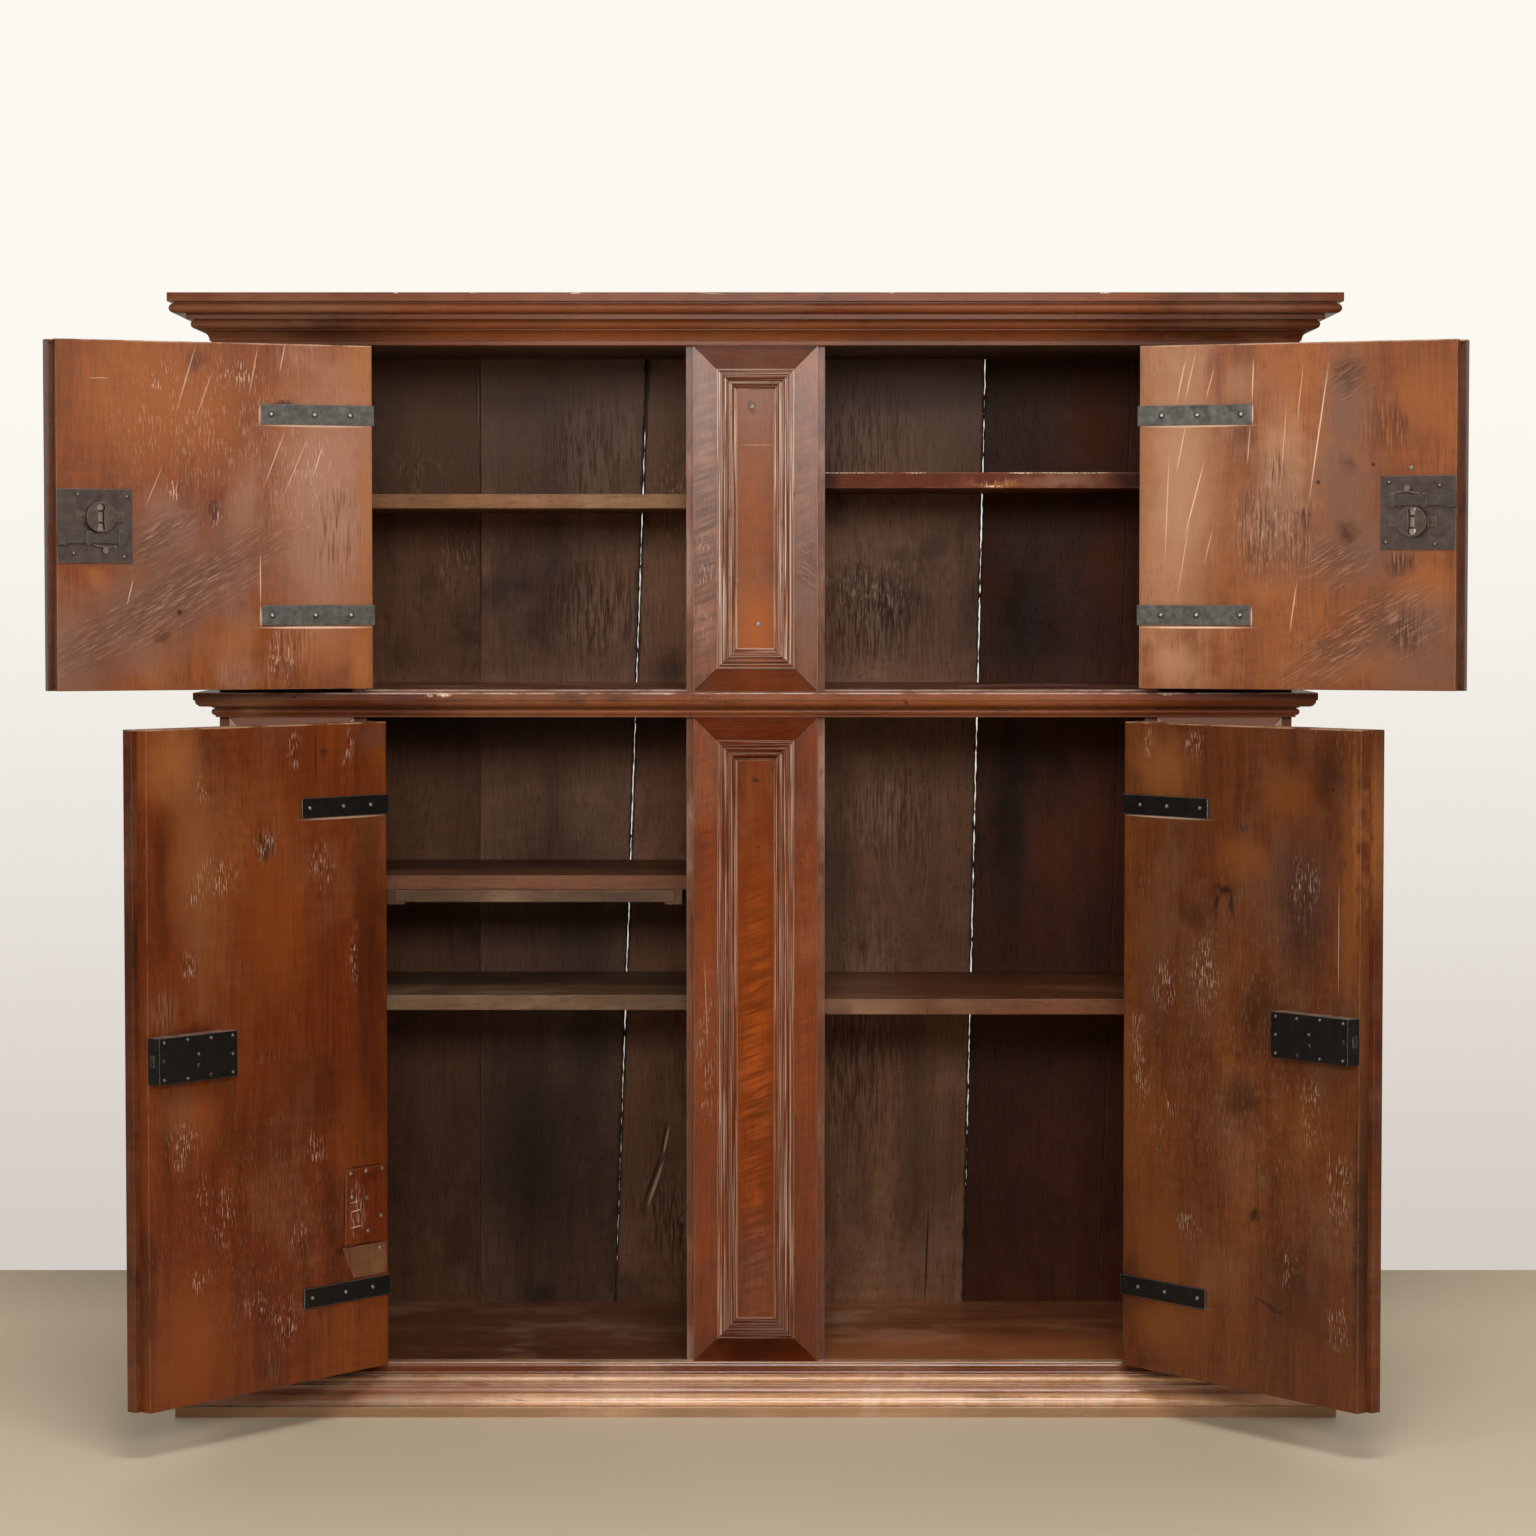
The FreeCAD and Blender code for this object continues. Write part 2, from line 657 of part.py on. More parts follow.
def box_lock(level):
    """Closed box lock: a riveted case open to the door, and its bolt."""
    x0 = board_close
    x1 = x0 + box_width
    half = box_height / 2
    face = board_back + box_depth
    case = block(x0, x1, board_back, face, level - half, level + half)
    hollow = block(x0 + box_wall, x1 - box_wall, board_back, face - box_wall,
                   level - half + box_wall, level + half - box_wall)
    inner = box_bolt_height / 2 + bolt_clearance
    seat = board_back + box_bolt_seat
    mouth = block(x0 - cut_overrun, x0 + cut_overrun, seat - bolt_clearance,
                  seat + box_bolt_thickness + bolt_clearance, level - inner, level + inner)
    case = case.cut(hollow).cut(mouth)
    pieces = [case]
    for over, up in box_rivet_shares:
        pieces.append(nail_head(x0 + box_width * over, face, level + box_height * up,
                                rivet_radius, rivet_rise))
    guide_x = x0 + box_bolt_length / 2
    outer = inner + staple_wall
    guide_top = seat + box_bolt_thickness + bolt_clearance
    guide = block(guide_x, guide_x + staple_width, board_back, guide_top + staple_wall,
                  level - outer, level + outer)
    guide = guide.cut(block(guide_x, guide_x + staple_width, seat - bolt_clearance, guide_top,
                            level - inner, level + inner))
    pieces.append(guide)
    bolt_half = box_bolt_height / 2
    bolt = block(x0, x0 + box_bolt_length, seat, seat + box_bolt_thickness,
                 level - bolt_half, level + bolt_half)
    hole = keyhole(x0 + key_backset, level - box_height / 4, facing_front - cut_overrun, board_back, 1)
    return hole, {"lock_case": Part.makeCompound(pieces), "lock_bolt": bolt}


def placed_door(shape, side, angle):
    """A piece of a right-hand door, moved to its own door and swung open."""
    shape = shape.copy() if side > 0 else mirrored(shape)
    shape.rotate(V(side * pivot_x, pivot_y, 0), UP, side * angle)
    return shape


def door(name):
    """One door as it stands open: board, framed front, straps and lock."""
    tier, place = name.split("_")
    side = 1 if place == "right" else -1
    upper = tier == "upper"
    z0, z1 = upper_door if upper else lower_door
    board = block(board_close, board_hinge, board_front, board_back, z0, z1)
    front = framed_front(facing_close, board_hinge, z0, z1, board_front, door_facing, door_border,
                         door_moulding_width)
    if upper:
        hole, fittings = rim_lock(lock_levels[name], rim_flips[name])
        strap_set = straps(upper_strap_levels, upper_strap_length)
    else:
        hole, fittings = box_lock(lock_levels[name])
        strap_set = straps(lower_strap_levels, lower_strap_length)
    pieces = {
        "door_board": board.cut(hole),
        "door_front": Part.makeCompound([piece.cut(hole) for piece in front.Solids]),
        "door_straps": strap_set,
    }
    pieces.update(fittings)
    return {name + "_" + key: placed_door(shape, side, open_angles[name]) for key, shape in pieces.items()}


def pintles():
    """Eight pintles on the post edges: a nailed plate, a shoulder and an upright pin."""
    pieces = []
    for level in upper_strap_levels + lower_strap_levels:
        top = level - strap_height / 2 - pintle_clearance
        plate = block(pivot_x, opening_edge, pivot_y, post_back, top - pintle_height, top)
        shoulder = post(pivot_x, pivot_y, top - pintle_height, eye_radius, pintle_height)
        pin = post(pivot_x, pivot_y, top, pin_radius, strap_height + pintle_clearance + pin_overtop)
        pintle = plate.fuse(shoulder).fuse(pin).removeSplitter()
        pieces += [pintle, mirrored(pintle)]
    return Part.makeCompound(pieces)


def build():
    """Every node of the cupboard by name."""
    nodes = carcase_boards()
    nodes.update(moulding_set("cornice", cornice_shares, cornice_projection, cornice_height,
                              cornice_bottom))
    nodes.update(moulding_set("waist", waist_shares, waist_projection, waist_height, waist_bottom))
    nodes.update(moulding_set("plinth", plinth_shares, plinth_projection, plinth_height, 0))
    nodes.update(shelves())
    nodes.update(pull_out_board())
    nodes.update(pilasters())
    nodes["hinge_pintles"] = pintles()
    for name in open_angles:
        nodes.update(door(name))
    return nodes


os.makedirs("parts", exist_ok=True)
total = 0
for node, shape in build().items():
    if not shape.isValid():
        print("not valid:", node)
    shape.exportStep("parts/" + node + ".step")
    total += len(shape.Solids)
    print(node, len(shape.Solids), round(shape.Volume / 1000), shape.BoundBox)
print("solids", total)
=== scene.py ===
"""Dresses the two-tier walnut cupboard: worn waxed wood, forged iron, light and camera."""
import bmesh
import bpy
import inspect
import math
import numpy as np
from mathutils import Matrix, Vector


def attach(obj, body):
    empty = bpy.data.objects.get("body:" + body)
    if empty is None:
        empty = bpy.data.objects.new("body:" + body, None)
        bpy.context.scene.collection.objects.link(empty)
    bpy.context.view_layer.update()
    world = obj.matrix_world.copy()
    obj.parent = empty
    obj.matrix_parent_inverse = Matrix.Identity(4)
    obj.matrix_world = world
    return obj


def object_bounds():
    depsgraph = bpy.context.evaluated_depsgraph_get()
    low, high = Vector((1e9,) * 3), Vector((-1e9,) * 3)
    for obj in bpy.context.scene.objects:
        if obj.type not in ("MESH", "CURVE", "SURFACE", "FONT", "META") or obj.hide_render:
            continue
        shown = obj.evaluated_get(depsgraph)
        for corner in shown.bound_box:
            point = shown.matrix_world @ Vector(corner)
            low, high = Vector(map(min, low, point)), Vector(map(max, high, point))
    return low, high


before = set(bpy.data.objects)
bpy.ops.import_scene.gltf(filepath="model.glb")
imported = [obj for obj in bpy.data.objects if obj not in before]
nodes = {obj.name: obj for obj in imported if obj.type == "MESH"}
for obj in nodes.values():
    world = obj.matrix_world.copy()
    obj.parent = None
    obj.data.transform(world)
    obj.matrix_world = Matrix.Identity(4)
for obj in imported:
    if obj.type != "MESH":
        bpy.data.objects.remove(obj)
cad_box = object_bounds()

# Places that the CAD fixes, in metres, and the doors' angles in degrees
PIVOT_X, PIVOT_Y = 0.5325, -0.2235
DOOR_BACK = -0.183
DOOR_ANGLES = {"upper_left": 157.0, "upper_right": 158.5, "lower_left": 129.5, "lower_right": 129.0}
# Half depth of a mark that goes through any board, and how far two kinds of stroke lean
THROUGH = 100.0
SCRAPE_LEAN, CURL_LEAN = math.radians(60.0), math.radians(20.0)


# Small helpers for building node trees
class Wire:
    """A node's socket that sums, products and comparisons can be written with."""

    def __init__(self, socket):
        self.socket, self.tree = socket, socket.id_data


for word, operation in (("add", "ADD"), ("sub", "SUBTRACT"), ("mul", "MULTIPLY"), ("truediv", "DIVIDE"),
                        ("gt", "GREATER_THAN"), ("lt", "LESS_THAN")):
    setattr(Wire, "__" + word + "__", lambda self, other, kind=operation: combine(kind, self, other))
    setattr(Wire, "__r" + word + "__", lambda self, other, kind=operation: combine(kind, other, self))
Wire.__abs__ = lambda self: combine("ABSOLUTE", self)


def tree_of(*values):
    return next(value.tree for value in values if isinstance(value, Wire))


def add(tree, kind, inputs=None, **settings):
    """Add a node of a shader kind; inputs are plain values or wires to link."""
    node = tree.nodes.new("ShaderNode" + kind)
    for name, value in settings.items():
        setattr(node, name, value)
    for name, value in (inputs or {}).items():
        if isinstance(value, Wire):
            tree.links.new(value.socket, node.inputs[name])
        else:
            node.inputs[name].default_value = value
    return node


def wire(tree, kind, inputs=None, output=0, **settings):
    """Add a node and return one of its outputs."""
    return Wire(add(tree, kind, inputs, **settings).outputs[output])


def combine(operation, *values, clamp=False):
    """A maths node on numbers, or on vectors where one of the values is a vector."""
    tree, inputs = tree_of(*values), dict(enumerate(values))
    if any(isinstance(value, tuple) or isinstance(value, Wire) and value.socket.type == "VECTOR" for value in values):
        node = add(tree, "VectorMath", inputs, operation=operation)
        return Wire(node.outputs["Value" if operation in ("DOT_PRODUCT", "LENGTH") else "Vector"])
    return wire(tree, "Math", inputs, operation=operation, use_clamp=clamp)


def fused(first, second, third):
    """One node for first times second plus third."""
    return combine("MULTIPLY_ADD", first, second, third)


def fade(value, low, high, to_low=0.0, to_high=1.0):
    """Smooth step of a value between two bounds."""
    node = add(value.tree, "MapRange", {"Value": value, "From Min": low, "From Max": high, "To Min": to_low,
                                                  "To Max": to_high}, interpolation_type="SMOOTHSTEP")
    return Wire(node.outputs["Result"])


def noise(vector, scale=1.0, detail=2.0, roughness=0.5, seed=0.0, distortion=0.0):
    node = add(vector.tree, "TexNoise", {
        "Vector": vector, "W": seed, "Scale": scale, "Detail": detail, "Roughness": roughness,
        "Distortion": distortion}, noise_dimensions="4D")
    return Wire(node.outputs["Fac"])


def streaks(vector, across, along, seed=0.0, detail=2.0, roughness=0.5, distortion=0.0):
    """Noise with one scale across the grain and another along it."""
    return noise(vector * (across, across, along), 1.0, detail, roughness, seed, distortion)


def tone(red, green, blue):
    """A colour as it is given from a swatch, made linear."""
    shares = [value / 255 for value in (red, green, blue)]
    return tuple(v / 12.92 if v <= 0.04045 else ((v + 0.055) / 1.055) ** 2.4 for v in shares) + (1.0,)


def linear(colour):
    """A swatch of three numbers made linear; a linear colour or a wire as it is."""
    return tone(*colour) if isinstance(colour, tuple) and len(colour) == 3 else colour


def blend(first, second, share):
    return tuple(one + (two - one) * share for one, two in zip(first, second))


def darkened(colour, share):
    return tuple(part * share for part in colour[:3]) + (1.0,)


def mixed(share, first, second, mode="MIX"):
    inputs = {0: share, 6: linear(first), 7: linear(second)}
    node = add(tree_of(share, first, second), "Mix", inputs, data_type="RGBA", blend_type=mode)
    return Wire(node.outputs[2])


def shaded(colour, value):
    return wire(colour.tree, "HueSaturation", {"Value": value, "Color": colour})


def parts_of(vector):
    return [Wire(socket) for socket in add(vector.tree, "SeparateXYZ", {0: vector}).outputs]


def joined(x, y, z):
    return wire(tree_of(x, y, z), "CombineXYZ", {0: x, 1: y, 2: z})


def turned(vector, axis, angle, centre=(0.0, 0.0, 0.0)):
    return wire(vector.tree, "VectorRotate", {"Vector": vector, "Angle": angle, "Center": centre},
                    rotation_type=axis + "_AXIS")


def true_normal(tree):
    return wire(tree, "NewGeometry", output="True Normal")


VECTORS = ("vector", "place", "centre", "half_size")
COLOURS = ("body", "deep", "light", "dusty", "skin", "bare", "rust")


def group(name):
    """Makes a node group of a function from its input wires to its named outputs. Numbers have defaults."""
    def build(function):
        tree = bpy.data.node_groups.new(name, "ShaderNodeTree")
        for label, parameter in inspect.signature(function).parameters.items():
            kind = "Vector" if label in VECTORS else "Color" if label in COLOURS else "Float"
            socket = tree.interface.new_socket(name=spoken(label), in_out="INPUT", socket_type="NodeSocket" + kind)
            if kind == "Float":
                socket.default_value = parameter.default
        outputs = function(*[Wire(socket) for socket in tree.nodes.new("NodeGroupInput").outputs if socket.name])
        ends = tree.nodes.new("NodeGroupOutput").inputs
        for label, value in outputs.items():
            kind = {"Colour": "Color", "Vector": "Vector", "Normal": "Vector"}.get(label, "Float")
            tree.interface.new_socket(name=label, in_out="OUTPUT", socket_type="NodeSocket" + kind)
            tree.links.new(value.socket, ends[label])
        return tree
    return build


def spoken(label):
    return label.replace("_", " ").capitalize()


def placed(group, vector, **inputs):
    """Use a group; half_size stands for its input Half size, and so on. Returns its outputs as wires."""
    inputs = {spoken(label): value for label, value in inputs.items()}
    node = add(vector.tree, "Group", {"Vector": vector, **inputs}, node_tree=group)
    return {socket.name: Wire(socket) for socket in node.outputs}


# Node groups that several finishes share
@group("wood grain")
def GRAIN(vector, seed=0.0, wander=1.0):
    """Wood grain along Z: broad streaks, threads, fine fibre, open pores, torn flecks, which timber paints as pale
    glints, and curly ripple.
    """
    shift = (streaks(vector, 5.0, 2.2, seed) - 0.5) * wander
    vector = vector + joined(shift, shift, 0.0) * (0.10, 0.10, 0.0)
    flecks = fade(streaks(vector, 470.0, 66.0, seed), 0.60, 0.70)
    return {"Streak": streaks(vector, 46.0, 1.5, seed, 4.0, 0.6),
            "Thread": streaks(vector, 230.0, 6.0, seed, 3.0, 0.65),
            "Fibre": streaks(vector, 640.0, 12.0, seed, 1.0, 0.6),
            "Pores": fade(streaks(vector, 520.0, 34.0, seed, 1.0), 0.60, 0.70),
            "Torn": flecks * fade(streaks(vector, 13.0, 8.0, seed), 0.50, 0.70),
            "Ripple": fade(streaks(vector, 16.0, 105.0, seed, distortion=0.4), 0.35, 0.65)}


@group("long scratches")
def SCRATCHES(vector, seed=0.0):
    """Long thin scratches, some near the upright and some slanting, where a mask lets them."""
    lines = [fade(streaks(turned(vector, "Y", turn), across, along, seed + shift, 1.0), low, low + 0.035)
             for turn, across, along, shift, low in ((0.16, 120.0, 3.0, 0.0, 0.735), (-0.05, 190.0, 5.0, 3.7, 0.72))]
    return {"Mask": combine("MAXIMUM", *lines) * fade(noise(vector, 6.0, seed=seed), 0.42, 0.60)}


@group("rubbed and glinting edges")
def EDGES(vector, seed=0.0, radius=0.003, breaks=0.5):
    """Pale edges, from rubbing and, on the upper pilasters, a painted glint: how far the rounded normal leans from the
    flat one, broken up by noise.
    """
    bevel = wire(vector.tree, "Bevel", {"Radius": radius}, samples=4)
    lean = 1.0 - combine("DOT_PRODUCT", bevel, true_normal(vector.tree))
    patch = noise(vector, 34.0, 3.0, 0.6, seed)
    low = breaks * 0.62
    return {"Mask": fade(lean, 0.02, 0.25) * fade(patch, low, low + 0.22), "Normal": bevel}


@group("knot")
def KNOT(vector, place, radius=0.01):
    """One knot or round plug: a disc with a dark rim and rings, centred on a place."""
    reach = combine("LENGTH", (vector - place) * (1.0, 0.0, 0.7)) / radius
    reach = reach + (noise(vector, 60.0) - 0.5) * 0.7
    return {"Core": fade(reach, 1.05, 0.85), "Halo": fade(reach, 3.4, 0.9)}


@group("mark")
def MARK(vector, place, half_size, lean=0.0, softness=0.5):
    """A soft oval on the face of a board: half width across its lean, depth, half length along it."""
    reach = combine("LENGTH", turned(vector - place, "Y", lean) / half_size)
    return {"Mask": fade(reach, 1.0 + softness * 0.5, 1.0 - softness)}


@group("strokes")
def STROKES(vector, seed=0.0):
    """Strokes that a tool or a brush left, gouges along the grain and slanting scrapes, and short flecks that marked
    paints as glints.
    """
    fleck = streaks(vector, 470.0, 72.0, seed + 4.0) - 0.5
    clump = fade(streaks(vector, 55.0, 30.0, seed), 0.40, 0.62)
    curl = streaks(turned(vector, "Y", CURL_LEAN), 17.0, 170.0, seed, distortion=0.4)
    return {"Gouge": streaks(vector, 340.0, 26.0, seed, 3.0, 0.6),
            "Fleck": fused(fleck, fused(clump, 1.0, 0.55), 0.5),
            "Scrape": streaks(turned(vector, "Y", SCRAPE_LEAN), 500.0, 44.0, seed, 3.0, 0.65, 0.25),
            "Curl": fade(curl, 0.36, 0.64)}


@group("aged timber")
def TIMBER(vector, body, deep, light, dusty, seed=0.0, wander=1.0, worn_share=0.5, dark_share=0.5, torn_share=0.5,
           scratch_share=0.3, curl_share=0.1, streak_share=0.5):
    """Aged timber: body colour with streaks, worn and dark patches, pores, torn flecks painted pale as glints, and
    scratches.
    """
    fibres = placed(GRAIN, vector, seed=seed, wander=wander)
    scratches = placed(SCRATCHES, vector, seed=seed)["Mask"]
    colour = mixed(fade(fibres["Streak"], 0.56, 0.28) * streak_share, body, deep)
    colour = mixed(fade(streaks(vector, 7.0, 3.0, seed, 3.0), 0.44, 0.72) * 0.7, colour, light)
    mist = fade(streaks(vector, 7.0, 5.0, seed + 9.0, 4.0, 0.62), 0.50, 0.64)
    worn = combine("MULTIPLY", mist, worn_share, clamp=True)
    stain = fade(streaks(vector, 9.0, 6.0, seed + 21.0, 4.0, 0.65), 0.55, 0.72)
    colour = mixed(combine("MULTIPLY", stain, dark_share, clamp=True), mixed(worn, colour, dusty), deep)
    curl = (fibres["Ripple"] - 0.5) * curl_share
    fine = fused(fibres["Fibre"] - 0.5, 0.5, (fibres["Thread"] - 0.5) * 0.8)
    colour = mixed(fibres["Pores"] * 0.45, shaded(colour, curl + fine + 1.0), deep)
    # Pale torn flecks are painted glints on torn grain; pale scratches are the scratches' own colour.
    torn, cut = fibres["Torn"] * torn_share, scratches * scratch_share
    pale = mixed(0.35, light, (0.62, 0.45, 0.33, 1.0))
    relief = fibres["Fibre"] * 0.35 - fibres["Pores"] * 0.35 - torn * 0.7 - cut * 0.6
    return {"Colour": mixed(cut, mixed(torn * 0.55, colour, pale), pale),
            "Roughness": fused(worn, 0.18, 0.40) + torn * 0.10 + fine * 0.18,
            "Height": relief + fibres["Streak"] * 0.8}


@group("mitred frame")
def MITRE(vector, centre, half_size, border=0.05, seed=0.0):
    """Turns the grain of a mitred frame: rails along X, stiles along Z, split at the mitre lines."""
    local = vector - centre
    x, y, z = parts_of(local)
    half = parts_of(half_size)
    from_side, from_end = half[0] - abs(x), half[2] - abs(z)
    nearest = combine("MINIMUM", from_side, from_end)
    panel = nearest > border
    bars = 1.0 - panel
    rail = (from_end < from_side) * bars
    stile = (x > 0.0) * (1.0 - rail) * 1.3
    piece = fused(rail, fused(z > 0.0, 1.7, 2.1), stile) * bars
    inside = border - nearest
    bead = fade(inside, -0.001, 0.001) * fade(inside, 0.0285, 0.0265)
    return {"Vector": wire(local.tree, "Mix", {0: rail, 4: local, 5: joined(z, y, x)}, 1, data_type="VECTOR"),
            "Seed": piece + seed + panel * 5.0, "Dull": combine("MAXIMUM", rail, panel * 0.7),
            "Bead": bead * fused(rail, -0.5, 1.0),
            "Joint": fade(abs(from_end - from_side), 0.0011, 0.0004) * bars}


@group("forged iron")
def IRON(vector, skin, bare, rust, seed=0.0, rust_share=0.4):
    """Forged iron: hammered hollows, a dark skin, brown rust blooms and fine pitting."""
    beaten = noise(vector, 95.0, seed=seed)
    pits = noise(vector, 620.0, 3.0, 0.7, seed)
    bloom = fade(noise(vector, 70.0, 4.0, 0.65, seed + 5.0), 0.48, 0.68)
    rusty = combine("MULTIPLY", bloom, rust_share, clamp=True)
    colour = mixed(fade(beaten, 0.30, 0.90, 0.0, 0.7), skin, bare)
    return {"Colour": shaded(mixed(rusty, colour, rust), fused(pits - 0.5, 0.3, 1.0)),
            "Roughness": fused(rusty, 0.25, 0.42) + (pits - 0.5) * 0.3, "Height": beaten + pits * 0.25}


def side_of(door):
    return -1 if door and door.endswith("left") else 1


def wood_vector(tree, door):
    """Object coordinates, for a door swung back to where it is closed, so that patterns follow its board."""
    vector = wire(tree, "TexCoord", output="Object")
    if not door:
        return vector
    side = side_of(door)
    return turned(vector, "Z", math.radians(-side * DOOR_ANGLES[door]), (side * PIVOT_X, PIVOT_Y, 0.0))


def mark_masks(vector, marks, side, front):
    """For each kind of mark, the masks of its places joined into one. Chips keep to the front edge. A place is
    its distance from the middle of the cupboard and its height, half width across its lean and half length
    along it, all in millimetres, then its strength and, where it leans, the degrees."""
    drift = wire(vector.tree, "TexNoise", {"Vector": vector, "Scale": 38.0, "Detail": 3.0}, "Color")
    loose = vector + (drift - (0.5, 0.5, 0.5)) * (0.030, 0.0, 0.045)
    masks = {}
    for kind, places in marks.items():
        sharp, depth = kind in ("line", "hole", "chip"), 0.006 if kind == "chip" else THROUGH
        for across, height, half_across, half_height, strength, *lean in places:
            mask = placed(MARK, vector if sharp else loose, place=(side * across / 1000, front, height / 1000),
                          lean=math.radians(sum(lean)), half_size=(half_across / 1000, depth, half_height / 1000),
                          softness=0.5 if sharp else 0.9)["Mask"] * strength
            masks[kind] = combine("MAXIMUM", masks[kind], mask) if kind in masks else mask
    return masks


def marked(vector, colour, height, masks, seed, deep, light, dusty):
    """Lays the marks that a board has collected over its colour and relief, with painted glints on flecks and torn
    patches.
    """
    strokes = placed(STROKES, vector, seed=seed)
    pale = blend(tuple(min(1.0, part * 1.9 + 0.09) for part in dusty[:3]) + (1.0,), tone(222, 200, 178), 0.5)
    ash = blend(blend(deep, dusty, 0.45), tone(108, 78, 67), 0.6)
    for kind, tint in (("warm", light), ("worn", dusty), ("ash", ash), ("gold", (168, 106, 58)), ("dark", deep)):
        if kind in masks:
            colour = mixed(masks[kind], colour, tint)
    if "curl" in masks:
        colour = shaded(colour, fused((strokes["Curl"] - 0.45) * masks["curl"], 0.9, 1.0))
    # On scrapes the bright strokes are pale scraped wood; on torn patches they are painted glints.
    for kind, stroke, start, dark_end, bright_start, bright_end, dark_share, bright_share, mix, cut in (
            ("scrape", "Scrape", 0.46, 0.60, 0.46, 0.36, 0.5, 0.42, 0.3, None),
            ("torn", "Gouge", 0.52, 0.60, 0.49, 0.40, 0.85, 0.4, 0.25, 2.2)):
        if kind in masks:
            dark = fade(strokes[stroke], start, dark_end) * masks[kind]
            bright = fade(strokes[stroke], bright_start, bright_end) * masks[kind]
            colour = mixed(dark * dark_share, colour, deep)
            colour = mixed(bright * bright_share, colour, blend(dusty, pale, mix))
            height = height - (dark * cut if cut else dark)
    # Flecks: painted glints, each with painted shade beside it.
    if "flecks" in masks:
        fleck = fade(strokes["Fleck"], 0.55, 0.62) * masks["flecks"]
        shadow = fade(strokes["Fleck"], 0.45, 0.37) * masks["flecks"]
        colour = mixed(fleck * 0.65, mixed(shadow * 0.45, colour, deep), pale)
        height = height - fleck
    if "line" in masks:
        colour = mixed(masks["line"], colour, pale)
        height = height - masks["line"] * 0.8
    if "chip" in masks:
        chip = masks["chip"] * fade(noise(vector, 420.0), 0.42, 0.50)
        colour = mixed(chip, colour, (226, 200, 168))
        height = height - chip * 1.5
    if "hole" in masks:
        colour = mixed(masks["hole"], colour, darkened(deep, 0.45))
        height = height - masks["hole"] * 3.0
    return colour, height


def new_material(name):
    material = bpy.data.materials.new(name)
    material.use_nodes = True
    return material, material.node_tree, material.node_tree.nodes["Principled BSDF"]


def connect(tree, shader, rim, colour, rough, height, bump, distance):
    """Feeds colour, roughness and relief to a shader."""
    relief = wire(tree, "Bump", {"Strength": bump, "Distance": distance, "Height": height, "Normal": rim["Normal"]})
    for value, socket in ((colour, "Base Color"), (rough, "Roughness"), (relief, "Normal")):
        tree.links.new(value.socket, shader.inputs[socket])


def timber(name, body, deep, light, dusty, seed=0.0, along="Z", door=None, mitre=None, worn=0.5, dark=0.5,
           torn=0.5, scratch=0.3, curl=0.1, wander=1.0, edge=0.5, edge_colour=None, edge_radius=0.003,
           breaks=0.5, wax=0.25, gloss=0.35, bump=0.25, shine=0.22, beads=0.0, knots=(), marks=None, extra=None,
           number_from=None, front=0.0):
    """A waxed wood for one kind of board; along names the axis that its grain follows, front its front edge."""
    body, deep, light, dusty = linear(body), linear(deep), linear(light), linear(dusty)
    material, tree, shader = new_material(name)
    plain = vector = wood_vector(tree, door)
    number = fused(number_from(vector), 3.1, seed) if number_from else seed
    x, y, z = parts_of(vector)
    if mitre:
        centre, half, border = mitre
        bars = placed(MITRE, vector, centre=centre, half_size=half, border=border, seed=seed)
        vector, number = bars["Vector"], bars["Seed"]
    elif along == "X":
        vector = joined(z, y, x)
    elif along == "Y":
        vector = joined(x, z, y)
    wood = placed(TIMBER, vector, seed=number, wander=wander, body=body, deep=deep, light=light, dusty=dusty,
                  worn_share=worn, dark_share=dark, torn_share=torn, scratch_share=scratch, curl_share=curl,
                  streak_share=0.45)
    colour, height = wood["Colour"], wood["Height"]
    for place, radius, strength in knots:
        spot = placed(KNOT, plain, place=place, radius=radius)
        colour = mixed(spot["Halo"] * (0.5 * strength), colour, deep)
        colour = mixed(spot["Core"] * strength, colour, darkened(deep, 0.5))
        height = height - spot["Core"] * 0.6
    if marks:
        masks = mark_masks(plain, marks, side_of(door), front)
        colour, height = marked(plain, colour, height, masks, seed, deep, light, dusty)
    if extra:
        colour, height = extra(plain, colour, height)
    # Painted glints along the beads of a mitred frame, over rails made darker.
    if beads:
        colour = mixed(fade(bars["Dull"], 0.75, 0.95), colour, (0.58, 0.46, 0.42, 1.0), "MULTIPLY")
        glint = fade(streaks(vector, 620.0, 6.0), 0.50, 0.60) * bars["Bead"] * beads
        colour = mixed(glint, colour, (216, 188, 170))
    if mitre:
        colour = mixed(bars["Joint"] * 0.8, colour, (0.012, 0.006, 0.004, 1.0))
        height = height - bars["Joint"] * 1.5
    rim = placed(EDGES, plain, seed=seed, radius=edge_radius, breaks=breaks)
    colour = mixed(rim["Mask"] * edge, colour, edge_colour or dusty)
    connect(tree, shader, rim, colour, wood["Roughness"] + (gloss - 0.40), height, bump, 0.0008)
    shader.inputs["Coat Roughness"].default_value = 0.16
    for socket, value in (("Coat Weight", wax * 0.5), ("Specular IOR Level", shine)):
        shader.inputs[socket].default_value = value
        if mitre:
            tree.links.new((fused(bars["Dull"], -0.85, 1.0) * value).socket, shader.inputs[socket])
    return material


